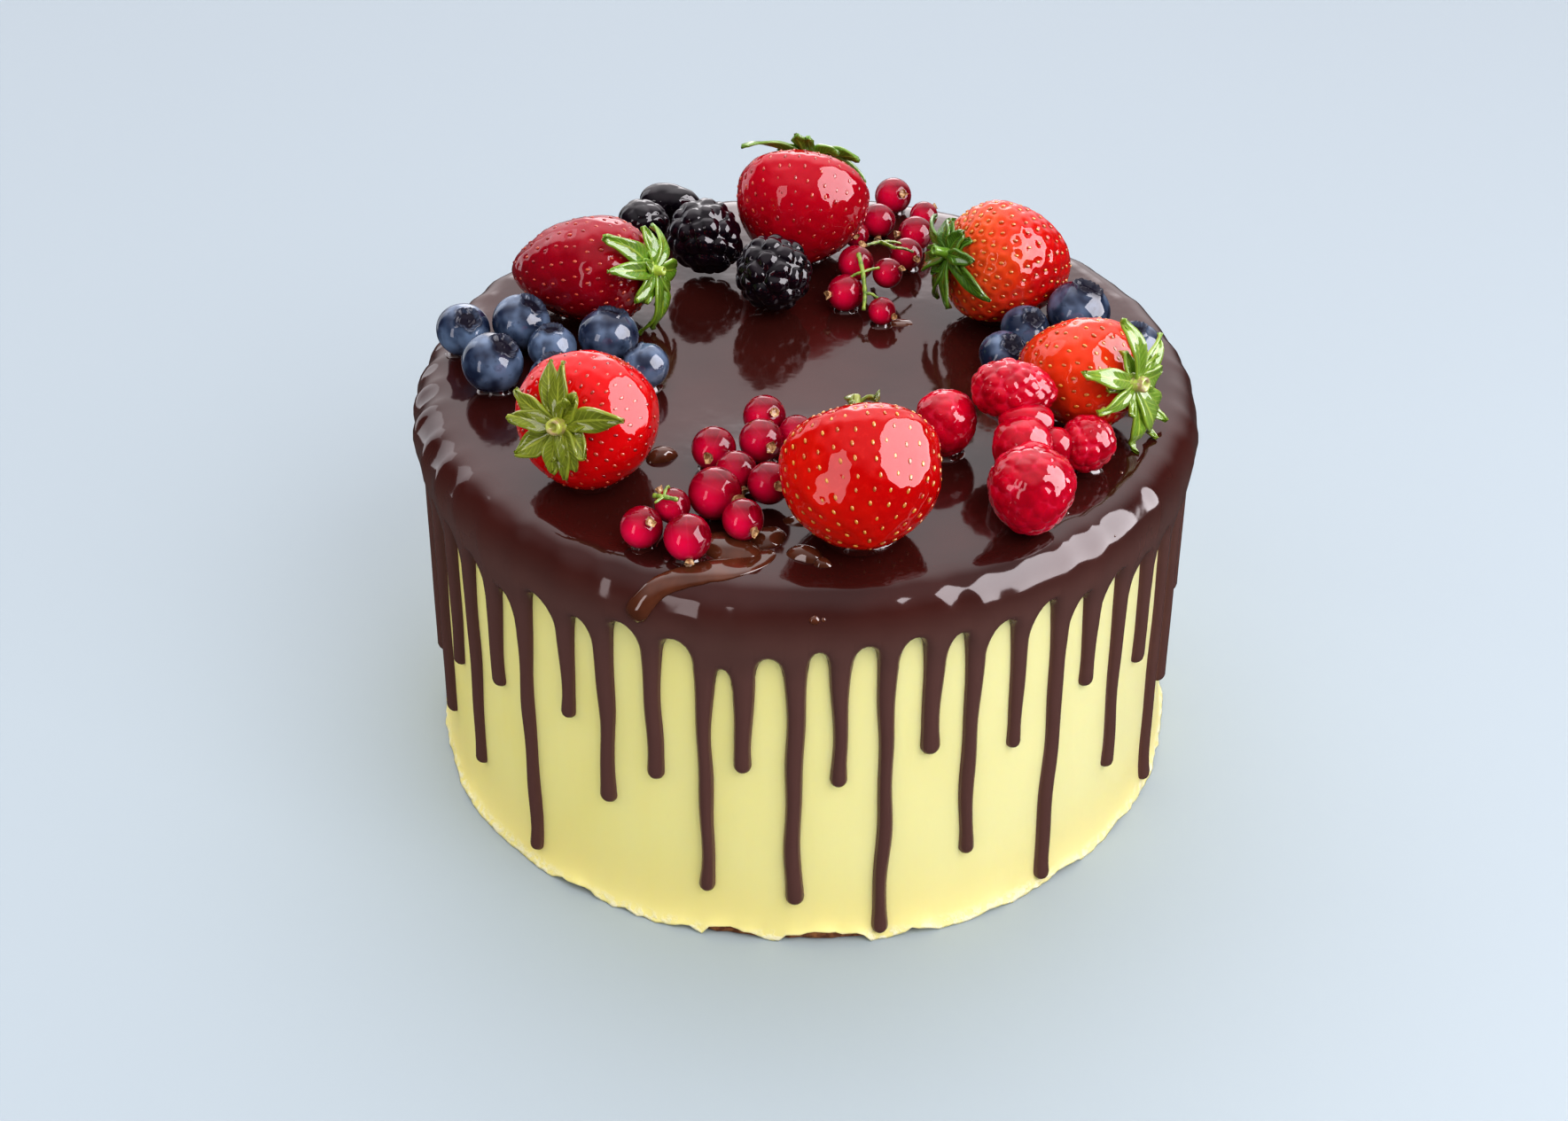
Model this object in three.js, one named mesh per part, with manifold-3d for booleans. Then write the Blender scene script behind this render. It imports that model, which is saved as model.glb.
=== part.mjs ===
// A round white forest cake: a body coated in white chocolate, a dark ganache poured over the top
// that runs down the side in drips, and a ring of glazed fruit on it.
// Millimetres, +Z up. The origin is the middle of the base and the front of the cake faces -Y.
import * as THREE from "three";
import { mergeVertices } from "three/addons/utils/BufferGeometryUtils.js";
import Module from "manifold-3d";

const wasm = await Module();
wasm.setup();

// Driving sizes
const GAP = 0.3; // clearance between pieces that touch
const CAKE_FOOT_RADIUS = 90;
const CAKE_TOP_RADIUS = 86;
const CAKE_HEIGHT = 91;
const CAKE_EDGE_ROUND = 6; // rounding of the body's top edge, under the ganache
const FOOT_SPREAD = 1.8; // how far the coating spreads out where it meets the base
const FOOT_SPREAD_HEIGHT = 3;
const FACETS = 54; // sides of the round body
const GANACHE_TOP = 94;
const GANACHE_RADIUS = 89.6;
const GANACHE_SHOULDER = 9; // rounding of the ganache's edge
const SKIRT_BOTTOM = 80; // where the ganache ends between the drips
const DRIP_WIDTH = 4.2;
const DRIP_DEPTH = 2.7;
const DRIP_CREST = 0.66; // share of a drip's width that stands out fully
const DRIP_ROOTING = 1.5; // how far a drip starts inside the side, before the side is cut from it
const DRIP_SPACING = 6.75; // degrees between the drips that the rule below places
const FRUIT_FLOOR = GANACHE_TOP + GAP;

const IVORY = 0xeee8a8;
const CHOCOLATE = 0x2b1512;
const STRAWBERRY_RED = 0xc81a1c;
const LEAF_GREEN = 0x6f9a2c;
const BLUEBERRY_BLUE = 0x2a3552;
const BRAMBLE_BLACK = 0x12121c;
const CURRANT_RED = 0x8e0a26;
const RASPBERRY_RED = 0xc01230;
const TWIG_GREEN = 0x9aa63c;

const coating = { color: IVORY, roughness: 0.45, metalness: 0 };
const ganache = { color: CHOCOLATE, roughness: 0.08, metalness: 0 };
const strawberry = { color: STRAWBERRY_RED, roughness: 0.1, metalness: 0 };
const leaf = { color: LEAF_GREEN, roughness: 0.3, metalness: 0 };
const blueberry = { color: BLUEBERRY_BLUE, roughness: 0.35, metalness: 0 };
const bramble = { color: BRAMBLE_BLACK, roughness: 0.08, metalness: 0 };
const currant = { color: CURRANT_RED, roughness: 0.08, metalness: 0 };
const raspberry = { color: RASPBERRY_RED, roughness: 0.12, metalness: 0 };
const twig = { color: TWIG_GREEN, roughness: 0.4, metalness: 0 };

const group = new THREE.Group();
const radians = THREE.MathUtils.degToRad;

// Adds one named piece to the cake.
function piece(name, geometry, finish) {
  const mesh = new THREE.Mesh(geometry, new THREE.MeshStandardMaterial(finish));
  mesh.name = name;
  group.add(mesh);
}

// Only the positions of a geometry, with vertices that coincide merged.
function bare(geometry) {
  for (const name of Object.keys(geometry.attributes))
    if (name !== "position") geometry.deleteAttribute(name);
  return mergeVertices(geometry, 1e-3);
}

function toSolid(geometry) {
  const merged = bare(geometry);
  const vertProperties = merged.attributes.position.array;
  const triVerts = new Uint32Array(merged.index.array);
  return new wasm.Manifold(new wasm.Mesh({ numProp: 3, vertProperties, triVerts }));
}

function fromSolid(solid) {
  const { vertProperties, triVerts } = solid.getMesh();
  const geometry = new THREE.BufferGeometry();
  geometry.setAttribute("position", new THREE.BufferAttribute(vertProperties, 3));
  geometry.setIndex(new THREE.BufferAttribute(triVerts, 1));
  return geometry;
}

// A turned shape about the Z axis, from [radius, height] points listed from the bottom up.
function turned(outline, sides) {
  const points = outline.map(([radius, height]) => new THREE.Vector2(radius, height));
  return new THREE.LatheGeometry(points, sides).rotateX(Math.PI / 2);
}

// Moves every vertex of a geometry by a function that changes the vector it is given.
function moveVertices(geometry, change) {
  const positions = geometry.attributes.position;
  const point = new THREE.Vector3();
  for (let i = 0; i < positions.count; i++) {
    change(point.fromBufferAttribute(positions, i), i);
    positions.setXYZ(i, point.x, point.y, point.z);
  }
  return geometry;
}

// A closed body through loops of equal point counts, each seen anticlockwise from its far end.
function loft(loops) {
  const count = loops[0].length;
  const last = (loops.length - 1) * count;
  const index = [];
  for (let start = 0; start < last; start += count)
    for (let i = 0; i < count; i++) {
      const next = (i + 1) % count;
      index.push(start + i, start + next, start + count + next);
      index.push(start + i, start + count + next, start + count + i);
    }
  for (let i = 1; i + 1 < count; i++) {
    index.push(0, i + 1, i);
    index.push(last, last + i, last + i + 1);
  }
  const geometry = new THREE.BufferGeometry().setFromPoints(loops.flat());
  return geometry.setIndex(index);
}

// A unit vector by its compass bearing about Z, from +X, and its rise above the horizontal.
function pointing(bearing, rise) {
  const out = Math.cos(radians(rise));
  return new THREE.Vector3(
    out * Math.cos(radians(bearing)),
    out * Math.sin(radians(bearing)),
    Math.sin(radians(rise)),
  );
}

// A point of a fruit, given along its own axes, in place on the cake.
function placed(point, { x, y, height, bearing, rise }) {
  const up = new THREE.Vector3(0, 0, 1);
  const turn = new THREE.Quaternion().setFromUnitVectors(up, pointing(bearing, rise));
  return point.applyQuaternion(turn).add(new THREE.Vector3(x, y, GANACHE_TOP + height));
}

// Turns a fruit's own +Z to where it points, sets it in place and rests it on the ganache.
function settle(geometry, fruit) {
  return moveVertices(geometry, (point) => {
    placed(point, fruit);
    point.z = Math.max(point.z, FRUIT_FLOOR);
  });
}

// The body: slightly wider at the foot, where the coating spreads unevenly over the base.
function sideRadius(z) {
  const slope = 1 - z / CAKE_HEIGHT;
  const straightFoot = CAKE_FOOT_RADIUS - FOOT_SPREAD;
  const spread = FOOT_SPREAD * Math.exp(-z / FOOT_SPREAD_HEIGHT);
  return CAKE_TOP_RADIUS + (straightFoot - CAKE_TOP_RADIUS) * slope + spread;
}

function footWobble(angle, z) {
  const lobes = Math.sin(5 * angle + 1) + 0.7 * Math.sin(9 * angle) + 0.6 * Math.sin(17 * angle + 2);
  return 0.35 * lobes * Math.exp(-z / FOOT_SPREAD_HEIGHT);
}

function bodyGeometry(growth) {
  const outline = [[0, -growth]];
  for (const z of [0, 1.5, 5, 12, 45, CAKE_HEIGHT - CAKE_EDGE_ROUND])
    outline.push([sideRadius(z) + growth, z === 0 ? -growth : z]);
  for (const turn of [30, 60, 90]) {
    const out = CAKE_EDGE_ROUND * (1 - Math.cos(radians(turn)));
    const rise = CAKE_EDGE_ROUND * (Math.sin(radians(turn)) - 1);
    outline.push([CAKE_TOP_RADIUS - out + growth, CAKE_HEIGHT + rise + growth]);
  }
  outline.push([0, CAKE_HEIGHT + growth]);
  return moveVertices(turned(outline, FACETS), (point) => {
    const radius = Math.hypot(point.x, point.y);
    if (radius < CAKE_TOP_RADIUS) return;
    const scale = 1 + footWobble(Math.atan2(point.y, point.x), Math.max(point.z, 0)) / radius;
    point.x *= scale;
    point.y *= scale;
  });
}

// The drips at the front, as bearing, height of the tip, and top of the bare slot to their left.
const FRONT_DRIPS = [
  [-168, 25, 78],
  [-160.5, 15, 77],
  [-153.5, 37, 78],
  [-147, 15, 78],
  [-140, 45, 77],
  [-133, 4, 74],
  [-125, 49, 79],
  [-118.5, 30, 78],
  [-111, 41, 81],
  [-103.5, 12, 80],
  [-98, 47, 74],
  [-91, 10.5, 78],
  [-85, 44, 80],
  [-78.5, 1.5, 81],
  [-72, 50, 82],
  [-66, 19, 81],
  [-59, 45, 81],
  [-52, 2, 82],
  [-45.5, 52, 79],
  [-38.5, 22, 79],
  [-31, 45, 77],
  [-24, 2, 77],
  [-17, 24, 78],
  [-10.5, 43, 79],
];

// The rest of the round repeats the same habit: a long drip, then a short one.
function backDrips() {
  const drips = [];
  const first = FRONT_DRIPS.at(-1)[0] + DRIP_SPACING;
  const last = FRONT_DRIPS[0][0] + 360 - DRIP_SPACING / 2;
  for (let bearing = first, i = 0; bearing < last; bearing += DRIP_SPACING, i++) {
    const longTip = 12 + 9 * Math.sin(2.3 * i);
    const shortTip = 44 + 7 * Math.sin(1.7 * i);
    const slotTop = 79 + 2 * Math.sin(1.3 * i);
    drips.push([bearing, i % 2 ? shortTip : longTip, slotTop]);
  }
  return drips;
}

// One drip, whose root widens to meet its neighbours in the round arches of the skirt.
function dripGeometry(bearing, tip, left, right) {
  const half = DRIP_WIDTH / 2;
  const along = pointing(bearing, 0);
  const across = pointing(bearing + 90, 0);
  const section = (z, toLeft, toRight, depth) => {
    const place = (sideways, out) =>
      along
        .clone()
        .multiplyScalar(sideRadius(z) + out)
        .addScaledVector(across, sideways)
        .setZ(z);
    return [
      place(-toLeft, -DRIP_ROOTING),
      place(-DRIP_CREST * toLeft, depth),
      place(DRIP_CREST * toRight, depth),
      place(toRight, -DRIP_ROOTING),
    ];
  };
  const reach = (side, z) => {
    const round = Math.max(side.room - half, 1);
    const below = THREE.MathUtils.clamp((side.top - z) / round, 0, 1);
    return side.room - round * Math.sqrt(1 - (1 - below) ** 2) * 0.98;
  };
  const arch = (z) => section(z, reach(left, z), reach(right, z), DRIP_DEPTH);
  const top = Math.max(left.top, right.top);
  const low = Math.min(left.top, right.top);
  return loft([
    section(tip, 0.5 * half, 0.5 * half, 0.4 * DRIP_DEPTH),
    section(tip + 1.6, 1.1 * half, 1.1 * half, DRIP_DEPTH),
    section(low - 6, half, half, 0.85 * DRIP_DEPTH),
    arch(low - 1.6),
    arch(top - 0.4),
    section(top + 3, left.room, right.room, 0.7 * DRIP_DEPTH),
  ]);
}

// The poured ganache: a disc over the top, a rounded shoulder, a skirt and the drips, all one skin.
function ganacheGeometry() {
  const shoulder = [];
  for (const turn of [0, 30, 60, 90]) {
    const out = GANACHE_SHOULDER * (1 - Math.cos(radians(turn)));
    const rise = GANACHE_SHOULDER * (Math.sin(radians(turn)) - 1);
    shoulder.push([GANACHE_RADIUS - out, GANACHE_TOP + rise]);
  }
  const lip = [
    [0, SKIRT_BOTTOM],
    [GANACHE_RADIUS - 2, SKIRT_BOTTOM],
    [GANACHE_RADIUS - 0.5, SKIRT_BOTTOM + 1.2],
  ];
  let solid = toSolid(turned([...lip, ...shoulder, [0, GANACHE_TOP]], FACETS));
  const drips = [...FRONT_DRIPS, ...backDrips()];
  drips.forEach(([bearing, tip, slotTop], i) => {
    const before = drips.at(i - 1);
    const after = drips[(i + 1) % drips.length];
    const room = (other) => {
      const turn = Math.abs(other[0] - bearing);
      return Math.tan(radians(Math.min(turn, 360 - turn) / 2)) * GANACHE_RADIUS;
    };
    const left = { room: room(before), top: slotTop };
    const right = { room: room(after), top: after[2] };
    solid = solid.add(toSolid(dripGeometry(bearing, tip, left, right)));
  });
  return fromSolid(solid.subtract(toSolid(bodyGeometry(GAP))));
}

// A strawberry lies along its own Z: leaf end at +length / 2, tip at -length / 2.
const STRAWBERRY_SHOULDER = 0.33; // share of the length from the leaf end to the widest place

function strawberryGeometry({ length, radius, blunt }) {
  const outline = [[0, -length / 2]];
  for (const s of [0.97, 0.84, 0.6, 0.3]) {
    const z = length * (0.5 - STRAWBERRY_SHOULDER - (1 - STRAWBERRY_SHOULDER) * s);
    outline.push([radius * (1 - s ** blunt) ** 0.74, z]);
  }
  for (const x of [0.97, 0.8, 0.45]) outline.push([radius * x, shoulderHeight(x, length)]);
  outline.push([0, length * 0.47]);
  const berry = turned(outline, 12);
  return moveVertices(berry, (point) => {
    const angle = Math.atan2(point.y, point.x);
    const swell = 1 + 0.025 * Math.sin(2 * angle + radius) + 0.015 * Math.sin(3 * angle + length);
    point.x *= swell;
    point.y *= swell;
  });
}

// Height of the shoulder's surface at a share of the widest radius.
function shoulderHeight(share, length) {
  const drop = 1 - Math.sqrt(Math.max(1 - share ** 2, 0));
  return length * (0.5 - STRAWBERRY_SHOULDER * drop);
}

// The green calyx: a small hub with a cut stem, and thin wavy leaves that drape over the shoulder.
// A leaf that reaches the ganache bends outwards and lies on it.
const LEAF_THICKNESS = 0.7;
const LEAF_WIDTH = 3.6;
const LEAF_DETAIL = 0.08; // cuts where leaves cross are made no finer than this
const LEAF_SPREAD = 0.6; // how far a leaf moves out for each mm that it would have sunk
const HUB_RADIUS = 3;
const STEM_RADIUS = 1.3;

function calyxGeometry(fruit) {
  const { length, radius, leaves, curl, stem, bearing, rise } = fruit;
  const up = new THREE.Vector3(0, 0, 1);
  const axis = pointing(bearing, rise);
  const outwards = pointing(bearing, 0);
  const surface = ([distance, angle, wave]) => {
    const share = Math.min(distance / (radius + 2), 0.97);
    const lift = curl * (distance / radius) ** 2;
    const z = shoulderHeight(share, length) + 1 + lift + wave - LEAF_THICKNESS / 2;
    const turn = radians(angle);
    const local = new THREE.Vector3(distance * Math.cos(turn), distance * Math.sin(turn), z);
    const under = placed(local, fruit);
    const sunk = Math.max(FRUIT_FLOOR - under.z, 0);
    return under.addScaledVector(up, sunk).addScaledVector(outwards, LEAF_SPREAD * sunk);
  };
  const sheet = (points, faces) => {
    const bottom = points.map(surface);
    const top = bottom.map((point) => {
      const lies = THREE.MathUtils.clamp(FRUIT_FLOOR + 1 - point.z, 0, 0.35);
      return point.clone().add(axis.clone().lerp(up, lies).setLength(LEAF_THICKNESS));
    });
    return toSolid(joinFaces(top, bottom, faces));
  };
  const rim = [0, 60, 120, 180, 240, 300].map((angle) => [HUB_RADIUS, angle, 0]);
  let solid = sheet([[0, 0, 0.3], ...rim], rim.map((_, i) => [0, 1 + i, 1 + ((i + 1) % rim.length)]));
  leaves.forEach(([angle, reach], i) => {
    const wave = 0.5 * Math.sin(1.9 * i);
    const middle = HUB_RADIUS + 0.45 * (reach - HUB_RADIUS);
    const spread = (180 / Math.PI) * (LEAF_WIDTH / 2 / middle);
    const outline = [
      [0.8 * HUB_RADIUS, angle, 0.1],
      [middle, angle - spread, wave],
      [middle, angle + spread, -wave],
      [reach, angle + 4 * Math.sin(3.1 * i), wave],
    ];
    solid = solid.add(sheet(outline, [[0, 1, 2], [1, 3, 2]]));
  });
  const stub = new THREE.CylinderGeometry(STEM_RADIUS * 0.85, STEM_RADIUS, stem, 6);
  stub.rotateX(Math.PI / 2);
  stub.translate(0, 0, length / 2 + GAP + 0.6 + stem / 2);
  return fromSolid(solid.add(toSolid(settle(stub, fruit))).simplify(LEAF_DETAIL));
}

// Closes two like-faced sheets round their rim.
function joinFaces(top, bottom, faces) {
  const below = top.length;
  const index = faces.flatMap(([a, b, c]) => [a, b, c, below + a, below + c, below + b]);
  const edges = new Map();
  for (const [a, b, c] of faces)
    for (const [from, to] of [[a, b], [b, c], [c, a]]) edges.set(from + "-" + to, [from, to]);
  for (const [from, to] of edges.values())
    if (!edges.has(to + "-" + from)) {
      index.push(from, below + from, to);
      index.push(to, below + from, below + to);
    }
  return new THREE.BufferGeometry().setFromPoints([...top, ...bottom]).setIndex(index);
}

// A blueberry, with the ring and hollow of its crown at +Z.
function blueberryGeometry({ radius }) {
  const squash = 0.93;
  const outline = [[0, -squash]];
  for (const turn of [-44, 0, 44])
    outline.push([Math.cos(radians(turn)), squash * Math.sin(radians(turn))]);
  outline.push([0.44, squash], [0.27, 0.8], [0, 0.76]);
  return turned(outline.map(([out, z]) => [out * radius, z * radius]), 10);
}

// A redcurrant, with the dry tip of its flower at +Z.
function currantGeometry({ radius }) {
  const outline = [[0, -1]];
  for (const turn of [-45, 0, 45]) outline.push([Math.cos(radians(turn)), Math.sin(radians(turn))]);
  outline.push([0.18, 0.97], [0.1, 1.3], [0, 1.3]);
  return turned(outline.map(([out, z]) => [out * radius, z * radius]), 7);
}

// A berry of many small drupelets, longer along its own Z than it is wide.
function drupeletGeometry({ radius, half }, relief, rows, columns) {
  const ball = new THREE.SphereGeometry(1, columns, rows).rotateX(Math.PI / 2);
  return moveVertices(ball, (point, i) => {
    const row = Math.floor(i / (columns + 1));
    const column = (i % (columns + 1)) % columns;
    const isPole = row === 0 || row === rows;
    const bump = isPole ? 1 : 1 + relief * ((row + column) % 2 ? 1 : -1);
    const taper = 1 + 0.12 * point.z;
    point.set(point.x * radius * bump * taper, point.y * radius * bump * taper, point.z * half * bump);
  });
}

// A thin stalk through points given as [x, y, height above the ganache].
function stalkGeometry(route, radius) {
  const points = route.map(([x, y, height]) => new THREE.Vector3(x, y, GANACHE_TOP + height));
  const section = new THREE.Shape();
  section.absarc(0, 0, radius, 0, 2 * Math.PI);
  const extrudePath = new THREE.CatmullRomCurve3(points);
  return new THREE.ExtrudeGeometry(section, { extrudePath, steps: 5, curveSegments: 2 });
}

// Places: x and y on the cake, height of the middle above the ganache, and where the leaf end,
// crown or dry tip points as a bearing and a rise.
const STRAWBERRIES = {
  strawberry_left_back: {
    x: -53, y: 21.5, height: 12.3, bearing: -22, rise: 12, length: 37, radius: 12.8, blunt: 1.9,
    leaves: [[-175, 16], [-145, 15], [-95, 9], [-42, 15], [-20, 15], [5, 15], [43, 14], [96, 12], [140, 10]],
    curl: 2, stem: 3,
  },
  strawberry_left_front: {
    x: -44, y: -43, height: 13.3, bearing: -113, rise: 24, length: 32, radius: 14.8, blunt: 1.9,
    leaves: [
      [-160, 12.5], [-117, 11], [-95, 12], [-70, 11], [-43, 9], [8, 15],
      [43, 9], [70, 15], [95, 15.5], [135, 14.5], [162, 12],
    ],
    curl: 3, stem: 4,
  },
  strawberry_front: {
    x: 11.5, y: -67.5, height: 14.8, bearing: 97, rise: 35, length: 29, radius: 16.5, blunt: 3,
    leaves: [[-120, 5], [0, 4.5], [120, 5]],
    curl: 0, stem: 3,
  },
  strawberry_back: {
    x: -2, y: 49, height: 13.6, bearing: 81, rise: 38, length: 27, radius: 16.2, blunt: 2.3,
    leaves: [[-146, 18], [-115, 10], [-53, 9], [-23, 13], [10, 15], [50, 12], [90, 12], [130, 12]],
    curl: 3, stem: 2,
  },
  strawberry_right: {
    x: 58.5, y: -20, height: 12, bearing: -42, rise: 12, length: 30, radius: 12.4, blunt: 1.9,
    leaves: [[-167, 15], [-122, 12.5], [-46, 16], [-24, 16], [2, 17], [40, 9], [75, 12.5], [146, 15.5]],
    curl: 4, stem: 3,
  },
  strawberry_right_back: {
    x: 47.5, y: 25, height: 13.2, bearing: -156, rise: 20, length: 33, radius: 13.9, blunt: 2.1,
    leaves: [[-164, 13], [-128, 12.5], [-78, 15], [-50, 11], [10, 7], [60, 9], [103, 15], [152, 12.5]],
    curl: 1, stem: 5,
  },
};

const BLUEBERRIES = [
  { x: -78.5, y: 4.5, height: 5.8, bearing: -56, rise: 55, radius: 6.2 },
  { x: -65.5, y: 7, height: 6.4, bearing: 0, rise: 60, radius: 6.8 },
  { x: -70, y: -11, height: 6.6, bearing: -15, rise: 58, radius: 7 },
  { x: -45, y: 0.5, height: 7, bearing: 60, rise: 69, radius: 6.9 },
  { x: -57.5, y: -2.5, height: 5.6, bearing: 90, rise: 85, radius: 5.6 },
  { x: -55.5, y: -16, height: 5.7, bearing: 90, rise: 80, radius: 6 },
  { x: -36, y: -9.5, height: 5.2, bearing: 155, rise: 48, radius: 5.5 },
  { x: 62.5, y: 12.5, height: 7.8, bearing: 13, rise: 72, radius: 7.4 },
  { x: 50, y: 7.5, height: 5.8, bearing: -50, rise: 62, radius: 5.7 },
  { x: 44.5, y: -3.5, height: 5.4, bearing: -56, rise: 60, radius: 5.7 },
  { x: 74.5, y: -0.5, height: 5.8, bearing: -170, rise: 80, radius: 6.1 },
];

const BRAMBLES = [
  { x: -34.5, y: 68, height: 5.5, bearing: 175, rise: 5, radius: 5, half: 8 },
  { x: -40.5, y: 57, height: 5.8, bearing: 170, rise: 0, radius: 5.8, half: 6.5 },
  { x: -24.5, y: 41.5, height: 10.3, bearing: 150, rise: 30, radius: 8.7, half: 9.4 },
  { x: -8, y: 25, height: 9.8, bearing: -85, rise: 40, radius: 8.8, half: 9.6 },
];

const RASPBERRIES = [
  { x: 30, y: -34, height: 6.8, bearing: 80, rise: 60, radius: 6.7, half: 7.4 },
  { x: 44, y: -34.5, height: 15.6, bearing: 175, rise: 2, radius: 6.5, half: 9.2 },
  { x: 45.5, y: -46, height: 8.4, bearing: 90, rise: 50, radius: 6.5, half: 7 },
  { x: 46, y: -63, height: 9.6, bearing: 85, rise: 55, radius: 9, half: 9.2 },
  { x: 59.5, y: -41, height: 6.3, bearing: 60, rise: 20, radius: 6, half: 6.3 },
];

const REDCURRANTS = [
  { x: 21.5, y: 75.5, height: 4.4, bearing: -60, rise: 30, radius: 4.6 },
  { x: 17.5, y: 62.5, height: 4.2, bearing: -90, rise: -40, radius: 4.3 },
  { x: 26.5, y: 56, height: 4.2, bearing: -162, rise: 6, radius: 4.3 },
  { x: 11.5, y: 35, height: 7.3, bearing: 60, rise: 45, radius: 4.3 },
  { x: 19, y: 31.5, height: 6.7, bearing: -20, rise: 30, radius: 3.6 },
  { x: 9, y: 26, height: 4.3, bearing: -150, rise: 10, radius: 4.4 },
  { x: 17.5, y: 19.5, height: 3.2, bearing: -40, rise: 0, radius: 3.3 },
  { x: 12, y: 57, height: 3.2, bearing: -90, rise: 20, radius: 3.2 },
  { x: 29, y: 67, height: 3.4, bearing: 40, rise: 20, radius: 3.5 },
  { x: 24, y: 46, height: 3.9, bearing: -60, rise: 10, radius: 4 },
  { x: -9, y: -28.5, height: 4.5, bearing: -59, rise: 38, radius: 4.7 },
  { x: -9.5, y: -38.5, height: 4.8, bearing: -66, rise: 16, radius: 4.8 },
  { x: -19.5, y: -41.5, height: 4.6, bearing: -100, rise: 12, radius: 4.8 },
  { x: -14.5, y: -50, height: 4.5, bearing: -68, rise: -20, radius: 4.5 },
  { x: -18.5, y: -59.5, height: 5.5, bearing: -40, rise: 9, radius: 5.6 },
  { x: -33, y: -70.5, height: 4.6, bearing: -57, rise: 43, radius: 4.4 },
  { x: -27, y: -64.5, height: 5.8, bearing: 140, rise: 30, radius: 3.7 },
  { x: -23.5, y: -74, height: 4.7, bearing: -83, rise: -36, radius: 4.9 },
  { x: -12.5, y: -68.5, height: 5.4, bearing: -60, rise: 0, radius: 4.3 },
  { x: -7.5, y: -56, height: 5.8, bearing: -64, rise: 26, radius: 4.5 },
  { x: -2, y: -34, height: 3.9, bearing: -60, rise: 30, radius: 3.9 },
];

const STALKS = {
  currant_stalk_back: [[12, 31.5, 11.8], [13, 27, 9.4], [13.5, 22, 6.4], [13.2, 18.5, 4]],
  currant_twig_back: [[16, 47, 6.2], [17.5, 42.5, 9], [20.5, 38, 10]],
  currant_stalk_front: [[-30.5, -66.5, 9.6], [-28.5, -68, 10.4], [-25.5, -69.5, 10.8]],
};
const STALK_RADIUS = 0.6;

// Calls a function for each item of a list, with a name that ends in its number.
function numbered(items, prefix, make) {
  items.forEach((item, i) => make(prefix + "_" + String(i + 1).padStart(2, "0"), item));
}

piece("cake", bodyGeometry(0), coating);
piece("ganache", ganacheGeometry(), ganache);
for (const [name, fruit] of Object.entries(STRAWBERRIES)) {
  piece(name, settle(bare(strawberryGeometry(fruit)), fruit), strawberry);
  piece(name.replace("strawberry", "calyx"), calyxGeometry(fruit), leaf);
}
numbered(BLUEBERRIES, "blueberry", (name, fruit) => {
  piece(name, settle(blueberryGeometry(fruit), fruit), blueberry);
});
numbered(BRAMBLES, "bramble", (name, fruit) => {
  piece(name, settle(drupeletGeometry(fruit, 0.07, 8, 12), fruit), bramble);
});
numbered(RASPBERRIES, "raspberry", (name, fruit) => {
  piece(name, settle(drupeletGeometry(fruit, 0.05, 8, 12), fruit), raspberry);
});
numbered(REDCURRANTS, "redcurrant", (name, fruit) => {
  piece(name, settle(currantGeometry(fruit), fruit), currant);
});
for (const [name, route] of Object.entries(STALKS)) {
  piece(name, bare(stalkGeometry(route, STALK_RADIUS)), twig);
}

export default group;
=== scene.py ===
"""A round cake in pale ivory white chocolate, with poured dark ganache and a ring of glazed berries."""

import random
from math import acos, atan2, copysign, cos, degrees, exp, hypot, pi, radians, sin, sqrt

import bmesh
import bpy
from mathutils import Matrix, Vector, kdtree
from mathutils.bvhtree import BVHTree
from mathutils.noise import noise


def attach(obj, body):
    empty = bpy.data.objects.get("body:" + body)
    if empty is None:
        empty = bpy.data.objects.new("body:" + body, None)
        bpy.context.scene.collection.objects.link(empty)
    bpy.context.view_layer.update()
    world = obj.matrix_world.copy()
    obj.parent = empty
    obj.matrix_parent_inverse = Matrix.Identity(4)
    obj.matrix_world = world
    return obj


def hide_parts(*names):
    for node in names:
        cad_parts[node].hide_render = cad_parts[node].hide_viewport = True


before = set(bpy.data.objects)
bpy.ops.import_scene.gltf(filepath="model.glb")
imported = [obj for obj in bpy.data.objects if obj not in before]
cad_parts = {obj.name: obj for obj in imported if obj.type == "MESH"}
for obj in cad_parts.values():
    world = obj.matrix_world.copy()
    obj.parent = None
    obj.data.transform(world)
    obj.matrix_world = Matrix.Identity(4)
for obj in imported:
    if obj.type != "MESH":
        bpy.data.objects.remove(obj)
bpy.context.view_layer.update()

# The camera stands in front of the cake and looks down on it at about 36 degrees, as the photograph was
# taken. Its place (in mm), aim and lens come from the round rims of the cake.
MM = 0.001
LENS, SENSOR_WIDTH = 52.08, 36
CAMERA_PLACE = Vector((0, -443.303, 365.437))
CAMERA_AIM = Vector((-0.00894664, 0.80491596, -0.59332138)).normalized()
CAMERA_ROLL = radians(0.265)


def add_object(name, data):
    new = bpy.data.objects.new(name, data)
    bpy.context.scene.collection.objects.link(new)
    return new


def set_camera():
    lens = bpy.data.cameras.new("camera")
    lens.lens, lens.sensor_width = LENS, SENSOR_WIDTH
    lens.clip_start, lens.clip_end = 0.01, 30
    camera = add_object("camera", lens)
    side = CAMERA_AIM.cross(Vector((0, 0, 1))).normalized()
    up = side.cross(CAMERA_AIM)
    right = side * cos(CAMERA_ROLL) + up * sin(CAMERA_ROLL)
    top = up * cos(CAMERA_ROLL) - side * sin(CAMERA_ROLL)
    turn = Matrix((right, top, -CAMERA_AIM)).transposed().to_4x4()
    camera.matrix_world = Matrix.Translation(CAMERA_PLACE * MM) @ turn
    bpy.context.scene.camera = camera


set_camera()
bpy.context.scene.view_settings.view_transform = "Standard"
bpy.context.scene.view_settings.look = "Medium High Contrast"


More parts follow.
